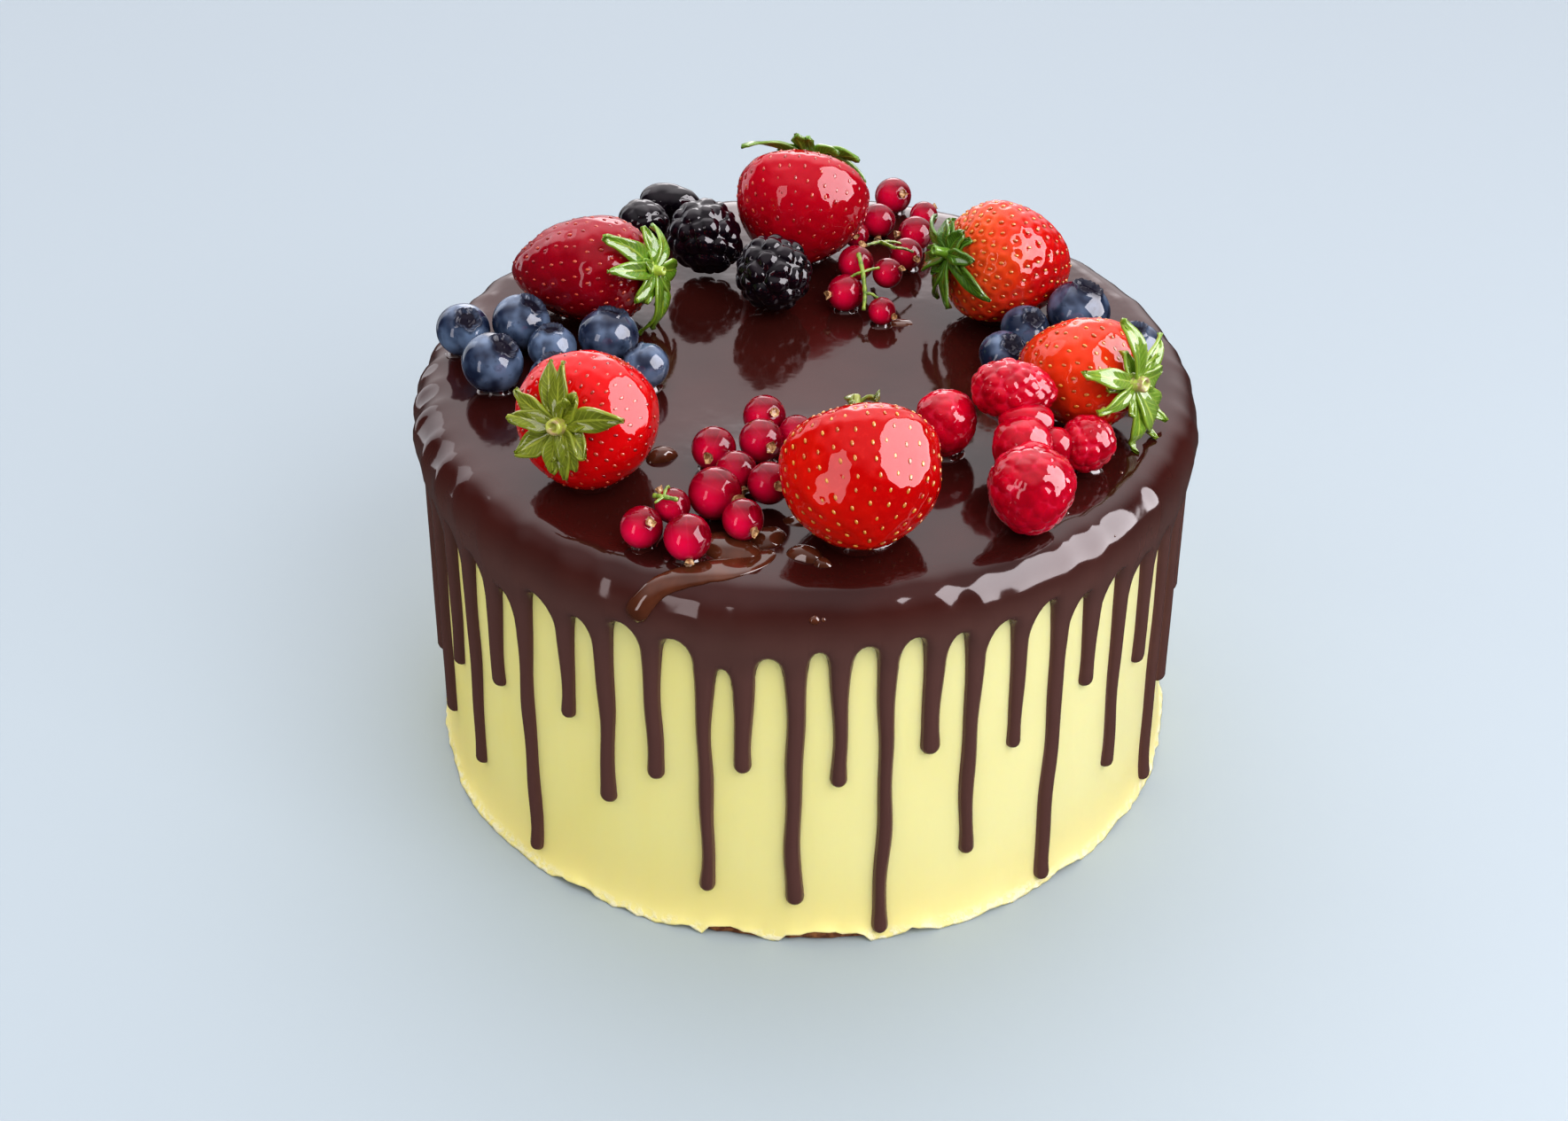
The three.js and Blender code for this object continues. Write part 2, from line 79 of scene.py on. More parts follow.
# Shader maths is written with these: a Flow is a number or colour on its way through a tree of nodes.
def both_ways(operation):
    """The two methods of an operator: with the flow on its left, and on its right."""

    def forwards(self, other):
        return self.nodes.math(operation, self, other)

    def reflected(self, other):
        return self.nodes.math(operation, other, self)

    return forwards, reflected


class Flow:
    __add__, __radd__ = both_ways("ADD")
    __sub__, __rsub__ = both_ways("SUBTRACT")
    __mul__, __rmul__ = both_ways("MULTIPLY")
    __truediv__, __rtruediv__ = both_ways("DIVIDE")
    __pow__, __rpow__ = both_ways("POWER")

    def __init__(self, nodes, socket):
        self.nodes, self.socket = nodes, socket

    def between(self, low, high, least=0.0, most=1.0):
        """least below low, most above high, with a soft step from one to the other."""
        sockets = {"Value": self, "From Min": low, "From Max": high, "To Min": least, "To Max": most}
        return self.nodes.node("MapRange", sockets, interpolation_type="SMOOTHSTEP")


class Nodes:
    """The node tree of a material or of the room."""

    def __init__(self, owner):
        owner.use_nodes = True
        self.tree = owner.node_tree

    def node(self, kind, sockets=None, output=0, **settings):
        new = self.tree.nodes.new("ShaderNode" + kind)
        for setting, value in settings.items():
            setattr(new, setting, value)
        for socket, value in (sockets or {}).items():
            self.feed(new.inputs[socket], value)
        return Flow(self, new.outputs[output])

    def feed(self, socket, value):
        if isinstance(value, Flow):
            self.tree.links.new(value.socket, socket)
        else:
            is_colour = socket.type == "RGBA" and len(value) == 3
            socket.default_value = (*value, 1) if is_colour else value

    def math(self, operation, first, second=0.0):
        return self.node("Math", {0: first, 1: second}, operation=operation)

    def along(self, vector, direction):
        return self.node("VectorMath", {0: vector, 1: direction}, output="Value", operation="DOT_PRODUCT")

    def axis(self, vector, name):
        return self.node("SeparateXYZ", {0: vector}, output=name)


class Finish(Nodes):
    """A material, with the constants of its shader by socket name."""

    def __init__(self, name, **constants):
        self.material = bpy.data.materials.new(name)
        super().__init__(self.material)
        self.shader = self.tree.nodes["Principled BSDF"]
        self.set(**constants)

    def set(self, **values):
        for socket, value in values.items():
            self.feed(self.shader.inputs[socket.replace("_", " ")], value)

    def place(self, scale=(1, 1, 1)):
        """Object coordinates in mm."""
        where = self.node("TexCoord", output="Object")
        size = [axis / MM for axis in scale]
        return self.node("VectorMath", {0: where, 1: size}, operation="MULTIPLY")

    def grain(self, size, detail=2.0, stretch=(1, 1, 1)):
        """Soft noise from 0 to 1, in lumps of about size mm."""
        return self.node("TexNoise", {"Vector": self.place(stretch), "Scale": 1 / size, "Detail": detail})

    def mix(self, share, first, second):
        return self.node("Mix", {0: share, 6: first, 7: second}, output=2, data_type="RGBA")

    def bump(self, height, distance):
        """Relief from a height of 0 to 1, where 1 stands distance mm above 0."""
        self.set(Normal=self.node("Bump", {"Height": height, "Distance": distance * MM, "Strength": 1.0}))


def patchy(name, dark, bright, size, detail, soft, relief=None, **constants):
    """Two tones in soft patches of size mm; relief is the grain, detail and height of the bumps."""
    finish = Finish(name, **constants)
    finish.set(Base_Color=finish.mix(finish.grain(size, detail).between(*soft), dark, bright))
    if relief:
        finish.bump(finish.grain(*relief[:2]), relief[2])
    return finish


# The cake stands on a plain pale table in a bright room: brighter overhead, brightest on the wall behind
# it. Three soft panels only light it, from the right, the front and the left. Three windows only show
# as highlights on what is glazed.
FLOOR_SIZE, FLOOR_DROP = 4, 0.0002
LAMPS_CENTRE = Vector((0, 0, 0.08))
DAYLIGHT = [  # name, direction, distance, width, height, how bright its face looks, colour
    ("daylight_right", (0.44, -0.50, 0.66), 1.1, 0.8, 0.8, 3.6, (1.0, 0.985, 0.96)),
    ("daylight_front", (-0.5, -0.8, 0.4), 1.3, 0.9, 0.7, 0.8, (1.0, 0.95, 0.84)),
    ("daylight_left", (-0.93, 0.1, 0.30), 2.2, 1.1, 0.92, 2.3, (1.0, 0.97, 0.88)),
]
WINDOWS = [
    ("window_left", (-0.76, 0.64, 0.14), 1.2, 0.45, 1.1, 1.2, (0.92, 0.95, 1.0)),
    ("window_right", (0.75, -0.18, 0.36), 1.1, 1.15, 1.15, 8.7, (1.0, 0.955, 1.0)),
    ("window_front", (-0.60, -0.72, 0.26), 1.3, 0.30, 0.95, 3.7, (1.0, 0.93, 0.95)),
]


def to_mesh(name, bm):
    mesh = bpy.data.meshes.new(name)
    bm.to_mesh(mesh)
    bm.free()
    return mesh


def floor_under_cake():
    finish = Finish("floor", Roughness=0.7, Base_Color=(0.362, 0.426, 0.478))
    bm = bmesh.new()
    bmesh.ops.create_grid(bm, x_segments=2, y_segments=2, size=FLOOR_SIZE)
    bmesh.ops.translate(bm, verts=bm.verts, vec=(0, 0, -FLOOR_DROP))
    floor = add_object("floor", to_mesh("floor", bm))
    floor.data.materials.append(finish.material)
    floor.visible_glossy = False


def panel_of_light(name, towards, distance, width, height, glow, colour, mirrored):
    """A panel that is either mirrored in the cake or lights it."""
    lamp = bpy.data.lights.new(name, "AREA")
    lamp.shape, lamp.size, lamp.size_y = "RECTANGLE", width, height
    lamp.energy = glow * width * height * pi
    lamp.color = colour
    panel = add_object(name, lamp)
    panel.visible_diffuse, panel.visible_glossy = not mirrored, mirrored
    back = Vector(towards).normalized()
    turn = back.to_track_quat("Z", "Y").to_matrix().to_4x4()
    panel.matrix_world = Matrix.Translation(back * distance + LAMPS_CENTRE) @ turn


def bright_room():
    """Dim near the floor, brighter overhead, brightest on the wall, with a far window seen only as gloss."""
    world = bpy.data.worlds.new("room")
    bpy.context.scene.world = world
    room = Nodes(world)
    direction = room.node("TexCoord", output="Generated")
    overhead = room.along(direction, (0, 0, 1)).between(0.30, 0.95, 0.26, 0.96)
    wall = room.along(direction, (0, 0.82, 0.57)).between(0.50, 0.93, 0, 1.38)
    far_window = room.along(direction, (0, 0.966, 0.259)).between(0.960, 0.99, -0.20, 2.4)
    gloss = room.node("LightPath", output="Is Glossy Ray")
    background = room.tree.nodes["Background"]
    background.inputs["Color"].default_value = (1.0, 0.965, 0.985, 1)
    room.feed(background.inputs["Strength"], overhead + wall + gloss * far_window)


floor_under_cake()
bright_room()
for row in DAYLIGHT:
    panel_of_light(*row, mirrored=False)
for row in WINDOWS:
    panel_of_light(*row, mirrored=True)

# The cake's body is layers of sponge inside a smooth shell of white chocolate. The shell is spread a
# little wider at the foot, and its lower edge is chipped where it was cut free of the work table.
CAKE_HEIGHT, CAKE_TOP_RADIUS, CAKE_FOOT_RADIUS = 91, 86, 88.2
CAKE_EDGE_ROUND = 6
SHOULDER_Z, SHOULDER_R = CAKE_HEIGHT - CAKE_EDGE_ROUND, CAKE_TOP_RADIUS - CAKE_EDGE_ROUND
COATING_HEIGHTS = [0, 0.35, 0.8, 1.3, 1.9, 2.6, 3.6, 5, 7, 10, 14, 19, 25, 32, 40, 48, 56, 64, 72, 79, 85]
COATING_STEPS, SPONGE_STEPS = 360, 240
FOOT_SPREAD, FOOT_SPREAD_HEIGHT, FOOT_EDGE, MOST_SPREAD = 1.8, 3, 7, 2.4
FOOT_GAPS = [  # where the lower edge is broken away: first and last bearing, height
    (-104, -95.5, 1.9), (-93, -80, 2.1), (-129, -120, 1.2), (-51, -44, 1.2), (60, 75, 1.6), (150, 158, 1.6),
]
SPONGE_PROFILE = [(0, 0), (87.6, 0), (88.6, 0.3), (88.5, 1.4), (87.6, 3.2), (84.5, 3.6), (0, 3.6)]


def clamp(value, least=0, most=1):
    return max(least, min(most, value))


def turned(radius, angle, z=0):
    """A point at a radius and an angle about Z."""
    return Vector((radius * cos(angle), radius * sin(angle), z))


def side_radius(z):
    slope = 1 - z / CAKE_HEIGHT
    spread = FOOT_SPREAD * exp(-z / FOOT_SPREAD_HEIGHT)
    return CAKE_TOP_RADIUS + (CAKE_FOOT_RADIUS - CAKE_TOP_RADIUS) * slope + spread


def foot_wobble(angle, z):
    lobes = sin(5 * angle + 1) + 0.7 * sin(9 * angle) + 0.6 * sin(17 * angle + 2)
    return 0.35 * lobes * exp(-z / FOOT_SPREAD_HEIGHT)


def new_piece(name, bm, finish, replaces=(), smooth=True):
    """Makes a bmesh in mm into a finished piece of the cake, its faces outward, fixed to its one body."""
    bmesh.ops.recalc_face_normals(bm, faces=bm.faces)
    bmesh.ops.scale(bm, verts=bm.verts, vec=(MM, MM, MM))
    mesh = to_mesh(name, bm)
    mesh.shade_smooth() if smooth else mesh.shade_flat()
    mesh.materials.append(finish.material)
    piece = add_object(name, mesh)
    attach(piece, "root")
    if replaces:
        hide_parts(*replaces)


def join_seams(bm, apart=1e-4):
    bmesh.ops.remove_doubles(bm, verts=bm.verts, dist=apart)


def turn_profile(profile, steps):
    """A closed bmesh turned about Z from [radius, height] points that start and end on the axis."""
    bm = bmesh.new()
    points = [bm.verts.new((radius, 0, height)) for radius, height in profile]
    edges = [bm.edges.new(pair) for pair in zip(points, points[1:])]
    bmesh.ops.spin(
        bm, geom=points + edges, cent=(0, 0, 0), axis=(0, 0, 1), angle=2 * pi, steps=steps,
        use_merge=True,
    )
    join_seams(bm)
    return bm


def white_chocolate():
    finish = Finish(
        "white_chocolate", Specular_IOR_Level=0.35,
        Subsurface_Weight=0.25, Subsurface_Radius=(1.0, 0.8, 0.3), Subsurface_Scale=0.004,
    )
    place = finish.place()
    height = finish.axis(place, "Z")
    bands, cloud = finish.grain(9, 2, (1, 1, 0.12)), finish.grain(34, 1)
    tone = bands.between(0.35, 0.68) * 0.35 + cloud.between(0.3, 0.7) * 0.45
    # Painted shade and light: the ivory is painted a deeper yellow to the left, away from the light on the
    # right, and paler towards the lit right side.
    ivory = finish.mix(finish.axis(place, "X").between(-70, 90), (0.88, 0.79, 0.27), (0.88, 0.82, 0.41))
    ivory = finish.mix(tone * 0.5, ivory, (0.93, 0.88, 0.44))
    # Painted reflected light: the lowest 26 mm are painted a warmer, brighter yellow, as if lit warmly from
    # below, most at the foot.
    ivory = finish.mix((1 - height.between(0, 26)) * 0.6, ivory, (0.94, 0.80, 0.31))
    crust = (1 - height.between(0.5, 3.2)) * finish.grain(1.6, 3).between(0.42, 0.6)
    finish.set(Base_Color=finish.mix(crust * 0.6, ivory, (0.88, 0.84, 0.66)))
    finish.set(Roughness=0.36 + 0.14 * finish.grain(5, 3) + crust * 0.2)
    finish.bump(finish.grain(7, 3, (1, 1, 0.3)) * 0.7 + finish.grain(0.9, 2) * crust, 0.22)
    return finish


def cake_body():
    profile = [(0, 0), (CAKE_FOOT_RADIUS - 6, 0)] + [(side_radius(z), z) for z in COATING_HEIGHTS]
    for turn in (18, 36, 54, 72, 90):
        out, rise, _ = turned(CAKE_EDGE_ROUND, radians(turn))
        profile.append((SHOULDER_R + out, SHOULDER_Z + rise))
    bm = turn_profile(profile + [(0, CAKE_HEIGHT)], COATING_STEPS)
    for vert in bm.verts:
        radius = vert.co.xy.length
        if radius < CAKE_TOP_RADIUS - 2:
            continue
        angle, z = atan2(vert.co.y, vert.co.x), vert.co.z
        outwards = vert.co.xy / radius
        around = Vector((30 * outwards.x, 30 * outwards.y, 0))
        chips = noise(around * 0.9) + 0.6 * noise(around * 2.7)
        smooth = noise(Vector((outwards.x * 4, outwards.y * 4, z * 0.02)))
        move = foot_wobble(angle, z) + 0.55 * chips * exp(-z / 2.2) + 0.25 * smooth
        move = min(move, CAKE_FOOT_RADIUS + MOST_SPREAD - radius)
        vert.co.xy += outwards * move
        if z < FOOT_EDGE:
            lifted = max(noise(around * 0.33 + Vector((7, 0, 3))) - 0.12, 0) * 3.2
            bearing = degrees(angle)
            for start, end, rise in FOOT_GAPS:
                lifted += rise * clamp(min((bearing - start) / 1.2, (end - bearing) / 1.2))
            ragged = max(noise(around * 1.9 + Vector((0, 5, 1))), 0) * 0.7
            vert.co.z += (lifted + ragged) * (1 - z / FOOT_EDGE)
    return bm


def sponge_foot():
    bm = turn_profile(SPONGE_PROFILE, SPONGE_STEPS)
    for vert in bm.verts:
        if vert.co.xy.length > 80:
            vert.co.xy *= 1 + 0.006 * noise(vert.co * 0.5)
    return bm


new_piece("cake_coating", cake_body(), white_chocolate(), ["cake"])
crumb = patchy(
    "sponge_edge", (0.16, 0.05, 0.015), (0.33, 0.13, 0.04), 1.2, 3, (0.35, 0.65), (1.2, 3, 0.5), Roughness=0.9
)
new_piece("cake_sponge_edge", sponge_foot(), crumb)

# Dark ganache was poured warm over the middle of the top. It levelled to a mirror, rolled over the
# rounded edge as a thick skirt and ran down the side in narrow round-ended drips.
GANACHE_DEPTH, SKIRT_DEPTH, DRIP_DEPTH, BURIED = 3.0, 3.15, 2.0, 0.35
LIP_ROUND, ROOT_Z = 2.1, 75
GANACHE_TOP, DISH_DEPTH, DISH_RADIUS = 94.0, 2.2, 46
DISH_MIDDLE = Vector((4, -14))
UNROLLED_RADIUS = 88.0
PER_TURN = 2 * pi * UNROLLED_RADIUS
DRIPS = [  # bearing, height of the tip, top of the bare slot to the left
    (-168, 25, 78), (-160.5, 15, 77), (-153.5, 37, 78), (-147, 15, 78), (-140, 45, 77), (-133, 4, 74),
    (-125, 49, 79), (-118.5, 30, 78), (-111, 41, 81), (-103.5, 12, 80), (-98, 47, 74), (-91, 10.5, 78),
    (-85, 44, 80), (-78.5, 1.5, 81), (-72, 50, 82), (-66, 19, 81), (-59, 45, 81), (-52, 2, 82),
    (-45.5, 52, 79), (-38.5, 22, 79), (-31, 45, 77), (-24, 2, 77), (-17, 24, 78), (-10.5, 43, 79),
]
DRIP_SPACING, DRIP_HALF_WIDTH, DRIP_ROW_STEP = 6.75, 1.72, 2.1
DRIP_END_TURNS = (22, 42, 60, 76, 90)
ACROSS_DRIP, ACROSS_SLOT = 8, 8
RIM_STEPS, RIM_SPACING = 60, 0.3
SKIRT_SHARES = [0, 0.05, 0.13, 0.24, 0.38, 0.55, 0.76]  # rows of the skirt, of its height above its edge
SHOULDER_TURNS = [radians(turn) for turn in (0, 11, 22, 33, 44, 55, 66, 78, 90)]
TOP_RADII = [77, 73.5, 69.5, 65, 60, 54.5, 48.5, 42, 35, 28, 21, 14, 7, 0]


def add_back_drips():
    i, bearing = 0, DRIPS[-1][0] + DRIP_SPACING
    while bearing < 360 + DRIPS[0][0] - DRIP_SPACING / 2:
        tip = 44 + 7 * sin(1.7 * i) if i % 2 else 12 + 9 * sin(2.3 * i)
        DRIPS.append((bearing, tip, 79 + 2 * sin(1.3 * i)))
        i, bearing = i + 1, bearing + DRIP_SPACING


def bell(away, width):
    return exp(-((away / width) ** 2))


def dome(share):
    """Height of a dome of height 1, at a share of the way from its middle to its edge."""
    return sqrt(max(1 - share ** 2, 0))


def eased(k, count):
    """0 to 1 in count steps, shorter at both ends."""
    return 0.5 - 0.5 * cos(pi * k / count)


def drip_half(drip, z, start):
    """Half the width of a drip at a height: wide at its root, narrower below, a little fuller at its tip."""
    root = 0.75 * exp(-(start - z) / 9)
    bulb = 0.22 * bell(z - DRIPS[drip][1] - 2.2, 2.6)
    return DRIP_HALF_WIDTH + root + bulb + 0.09 * sin(z / 5.3 + 2.1 * drip) + 0.16 * sin(drip * 1.9)


def drip_sway(drip, z, start):
    lean = min((start - z) / 20, 1)
    return lean * (0.35 * sin(z / 11 + drip * 1.3) + 0.18 * sin(z / 4.1 + drip))


def arch_height(slot, share):
    """Lower edge of the skirt over a slot, from 0 at the drip on its left to 1 at the drip on its right."""
    bearing, _, top = DRIPS[(slot + 1) % len(DRIPS)]
    lean = clamp((bearing + 92) / 45, -1) if bearing < 0 else 0.7 * sin(bearing * 0.7)
    peak = 0.5 + 0.24 * lean
    reach = peak if share < peak else 1 - peak
    fall = 3.2 + 6.5 * max(2 * reach - 0.75, 0) / 0.75
    return top - fall * (1 - dome(abs(share - peak) / reach))


def skirt_columns():
    """Bearing (unrolled, mm), lowest height and drip number of every column round the skirt."""
    columns = []
    for i, (bearing, _, _) in enumerate(DRIPS):
        after = (i + 1) % len(DRIPS)
        middle = bearing * PER_TURN / 360
        next_middle = (DRIPS[after][0] + (0 if after else 360)) * PER_TURN / 360
        left_end, right_end = arch_height(i - 1, 1.0), arch_height(i, 0.0)
        half = drip_half(i, ROOT_Z, ROOT_Z)
        for k in range(ACROSS_DRIP + 1):
            share = eased(k, ACROSS_DRIP)
            columns.append((middle + half * (2 * share - 1), left_end + (right_end - left_end) * share, i))
        start, end = middle + half, next_middle - drip_half(after, ROOT_Z, ROOT_Z)
        for k in range(1, ACROSS_SLOT):
            share = eased(k, ACROSS_SLOT)
            columns.append((start + (end - start) * share, arch_height(i, share), -1))
    return columns


def drip_rows(drip, left, right):
    """Rows of (left edge, right edge) points of a drip from its root to its tip, unrolled."""
    middle, start = (left[0] + right[0]) / 2, (left[1] + right[1]) / 2
    step = (right[0] - left[0]) / 2 - drip_half(drip, start, start)
    tip = DRIPS[drip][1]
    end = drip_half(drip, tip + 2, start)
    low = tip + end
    count = max(int((start - low) / DRIP_ROW_STEP), 4)
    rows = [(left, right)]
    for j in range(1, count + 1):
        share = j / count
        z_left, z_right = (z + (low - z) * share for z in (left[1], right[1]))
        z = (z_left + z_right) / 2
        half = drip_half(drip, z, start) + step * exp(-share * 20)
        place = middle + drip_sway(drip, z, start)
        rows.append(((place - half, z_left), (place + half, z_right)))
    place = middle + drip_sway(drip, low, start)
    for turn in DRIP_END_TURNS:
        half, drop, _ = turned(end, radians(turn))
        rows.append(((place - half, low - drop), (place + half, low - drop)))
    return rows


def on_cake(across, z=None, turn=None, radius=None):
    """A point of the cake's own surface: on its side, on its rounded edge or on its top."""
    height = CAKE_HEIGHT
    if z is not None:
        radius, height = side_radius(z), z
    elif turn is not None:
        radius = SHOULDER_R + CAKE_EDGE_ROUND * cos(turn)
        height = SHOULDER_Z + CAKE_EDGE_ROUND * sin(turn)
    return turned(radius, across / UNROLLED_RADIUS, height)


def grid_piece(bm, across, down, where):
    """Adds a grid to bm and puts its corner (i, j) at where(i, j)."""
    made = bmesh.ops.create_grid(bm, x_segments=across, y_segments=down, size=1)
    for vert in made["verts"]:
        i = round((vert.co.x + 1) / 2 * across)
        j = round((vert.co.y + 1) / 2 * down)
        vert.co = where(i, j)


def ganache_sheet():
    """The sheet of ganache on the cake, with no thickness yet, and the lines of its lower edge, unrolled."""
    columns = skirt_columns()

    def corner(i, j):
        across, low, _ = columns[i % len(columns)]
        across += PER_TURN * (i // len(columns))
        if j < len(SKIRT_SHARES):
            return on_cake(across, z=low + (SHOULDER_Z - low) * SKIRT_SHARES[j])
        j -= len(SKIRT_SHARES)
        if j < len(SHOULDER_TURNS):
            return on_cake(across, turn=SHOULDER_TURNS[j])
        return on_cake(across, radius=TOP_RADII[j - len(SHOULDER_TURNS)])

    bm = bmesh.new()
    grid_piece(bm, len(columns), len(SKIRT_SHARES) + len(SHOULDER_TURNS) + len(TOP_RADII) - 1, corner)
    rim = []
    for drip in range(len(DRIPS)):
        own = [column for column in columns if column[2] == drip]
        fingers = drip_rows(drip, own[0][:2], own[-1][:2])

        def finger(i, j):
            if j == 0:
                return on_cake(own[i][0], z=own[i][1])
            (left, left_z), (right, right_z) = fingers[j]
            share = eased(i, ACROSS_DRIP)
            return on_cake(left + (right - left) * share, z=left_z + (right_z - left_z) * share)

        grid_piece(bm, ACROSS_DRIP, len(fingers) - 1, finger)
        rim += [list(side) for side in zip(*fingers)]
        after = (drip + 1) % len(DRIPS)
        left = own[-1][0]
        right = [column for column in columns if column[2] == after][0][0] + (0 if after else PER_TURN)
        shares = [eased(k, RIM_STEPS) for k in range(RIM_STEPS + 1)]
        rim.append([(left + (right - left) * share, arch_height(drip, share)) for share in shares])
    join_seams(bm)
    return bm, rim


def tree_of(points):
    """A tree that finds the nearest of some points."""
    tree = kdtree.KDTree(len(points))
    for n, point in enumerate(points):
        tree.insert(point, n)
    tree.balance()
    return tree


def edge_finder(rim):
    """The ganache's lower edge, unrolled, as a tree that gives the distance to its nearest point."""
    dense = []
    for (x0, z0), (x1, z1) in (pair for line in rim for pair in zip(line, line[1:])):
        steps = int(hypot(x1 - x0, z1 - z0) / RIM_SPACING) + 1
        dense += [(x0 + (x1 - x0) * k / steps, z0 + (z1 - z0) * k / steps) for k in range(steps + 1)]
    return tree_of([(x + turn * PER_TURN, z, 0) for x, z in dense for turn in (-1, 0, 1)])


def sunk_middle(place):
    """How far the top lies below its level under the fruit: it is a very shallow dish."""
    share = min((place - DISH_MIDDLE).length / DISH_RADIUS, 1)
    return DISH_DEPTH * (1 - share * share * (3 - 2 * share))


def ganache_body():
    add_back_drips()
    bm, rim = ganache_sheet()
    edge = edge_finder(rim)
    drip_places = [radians(drip[0]) for drip in DRIPS]
    grown = bmesh.ops.extrude_face_region(bm, geom=bm.faces[:], use_keep_orig=True)
    outer = {element for element in grown["geom"] if isinstance(element, bmesh.types.BMVert)}
    for vert in bm.verts:
        radius, z = vert.co.xy.length, vert.co.z
        angle = atan2(vert.co.y, vert.co.x)
        flat = vert.co.xy / radius if radius > 1e-6 else Vector((0, 0))
        out = up = 0.0
        if z < SHOULDER_Z - 1e-4:
            out = 1.0
        elif radius > SHOULDER_R + 1e-4:
            out, up = (radius - SHOULDER_R) / CAKE_EDGE_ROUND, (z - SHOULDER_Z) / CAKE_EDGE_ROUND
        else:
            up = 1.0
        depth = -BURIED
        if vert in outer:
            depth = SKIRT_DEPTH * out + GANACHE_DEPTH * (1 - out)
            turns = ((angle - place + pi) % (2 * pi) - pi for place in drip_places)
            rivulet = bell(min(map(abs, turns)) * UNROLLED_RADIUS, 2.7) * (0.7 + 0.9 * max(-flat.x, 0) ** 3)
            lumps = noise(Vector((vert.co.x, vert.co.y, z * 1.5)) * 0.075)
            fine = noise(Vector((vert.co.x, vert.co.y, z)) * 0.19 + Vector((9, 2, 4)))
            uneven = 0.42 * rivulet + 0.5 * lumps + 0.22 * fine
            if z < SHOULDER_Z - 1e-4:
                away = edge.find((angle * UNROLLED_RADIUS, z, 0))[2]
                thick = DRIP_DEPTH + (depth - DRIP_DEPTH) * clamp((z - 74) / 10)
                share = min(away / LIP_ROUND, 1)
                depth = thick * dome(1 - share) + clamp((z - 76) / 8) * share * uneven
                if away < 0.02:
                    depth = -BURIED
            else:
                rolled = out ** 0.8
                wave = noise(Vector((flat.x, flat.y, 0)) * 3.1 + Vector((5, 1, 0)))
                depth += rolled * uneven + (1 - rolled) * 0.12 * lumps - up * sunk_middle(vert.co.xy)
                depth += 0.35 * wave * bell(radius - 79, 6)
        vert.co += Vector((*(flat * out), up)) * depth
    bmesh.ops.recalc_face_normals(bm, faces=bm.faces)
    return bm


def ganache_finish():
    finish = Finish("dark_ganache", IOR=1.47)
    cloud = finish.grain(26, 2).between(0.3, 0.7)
    brown = finish.mix(cloud, (0.034, 0.0072, 0.0060), (0.050, 0.0100, 0.0080))
    height = finish.axis(finish.place(), "Z")
    finish.set(Base_Color=finish.mix(height.between(80, 93), (0.115, 0.052, 0.044), brown))
    finish.set(Roughness=0.25 - 0.18 * height.between(78, 92) + 0.02 * finish.grain(3, 2))
    finish.bump(finish.grain(5.5, 2), 0.05)
    return finish


ganache, bm = ganache_finish(), ganache_body()
ganache_skin = BVHTree.FromBMesh(bm)
new_piece("ganache_pour", bm, ganache, ["ganache"])

# Each strawberry is fresh, brushed with clear glaze and laid on its side on the set ganache, which holds it;
# the front and the back one lean on their tips. The seeds are real grains in small dimples.
FRUIT_FLOOR, FRUIT_SUNK = 94.3, 0.2
STRAWBERRY_SHOULDER = 0.33
CAP_WITHOUT_SEEDS, SEED_SUNK, SEED_HALVES = 0.34, 0.10, (0.35, 0.60, 0.24)
SEED_SPACING, SEED_SPACING_AT_LEAVES = 3.6, 2.7
STRAWBERRY_FACETS, SEED_FACETS = (168, 112), (8, 5)
STRAWBERRIES = {  # x, y, height of the middle, bearing and rise of the leaf end; length, radius, bluntness
    "left_back": ((-53, 21.5, 12.3, -22, 12), (37, 12.8, 1.9)),
    "left_front": ((-44, -43, 13.3, -113, 24), (32, 14.8, 1.9)),
    "front": ((11.5, -67.5, 14.8, 97, 35), (29, 16.5, 3)),
    "back": ((-2, 49, 13.6, 81, 38), (27, 16.2, 2.3)),
    "right": ((58.5, -20, 12, -42, 12), (30, 12.4, 1.9)),
    "right_back": ((47.5, 25, 13.2, -156, 20), (33, 13.9, 2.1)),
}
# ripe side; pale side, its direction and how far off it is; depth of the dimples round the seeds; how much
# of the radius is pressed flat; colour of the seeds
STRAWBERRY_SKINS = {
    "left_back": ((0.18, 0.0004, 0.006), (0.31, 0.001, 0.014), (0, 0, 1), 0, 0.14, 0.05, "red"),
    "left_front": ((0.55, 0.001, 0.003), (0.66, 0.004, 0.006), (1, 0, 1), 0, 0.12, 0.10, "red"),
    "front": ((0.48, 0.0015, 0.002), (0.62, 0.012, 0.003), (-1, 0, -1), 0, 0.26, 0.10, "gold"),
    "back": ((0.32, 0.0006, 0.009), (0.45, 0.0015, 0.016), (0, -1, 1), 0, 0.12, 0.05, "red"),
    "right": ((0.56, 0.006, 0.004), (0.70, 0.05, 0.010), (-1, -1, 1), 0, 0.22, 0.10, "gold"),
    "right_back": ((0.58, 0.004, 0.005), (0.72, 0.10, 0.02), (-1, -0.3, 0.2), 5, 0.5, 0, "gold"),
}
WINDOW_RIGHT, WINDOW_FRONT = Vector((0.75, -0.15, 0.42)), Vector((-0.60, -0.72, 0.20))
PRESSED_EDGE = 0.3
GLAZED = {"Coat_Weight": 1.0, "Coat_Roughness": 0.02, "Specular_IOR_Level": 0.0}
CREEP = {"strawberry": 1.3, "blueberry": 1.0, "bramble": 1.1, "raspberry": 1.1, "currant": 0.8}
footings = []  # the skin and middle of every fruit and its CREEP: how high the glaze creeps up its foot


def pointing(bearing, rise):
    out = cos(radians(rise))
    return turned(out, radians(bearing), sin(radians(rise)))


def settled(x, y, height, bearing, rise):
    """The place of a fruit whose own +Z is its leaf end, crown or dry tip."""
    turn = Vector((0, 0, 1)).rotation_difference(pointing(bearing, rise)).to_matrix().to_4x4()
    return Matrix.Translation((x, y, GANACHE_TOP + height)) @ turn


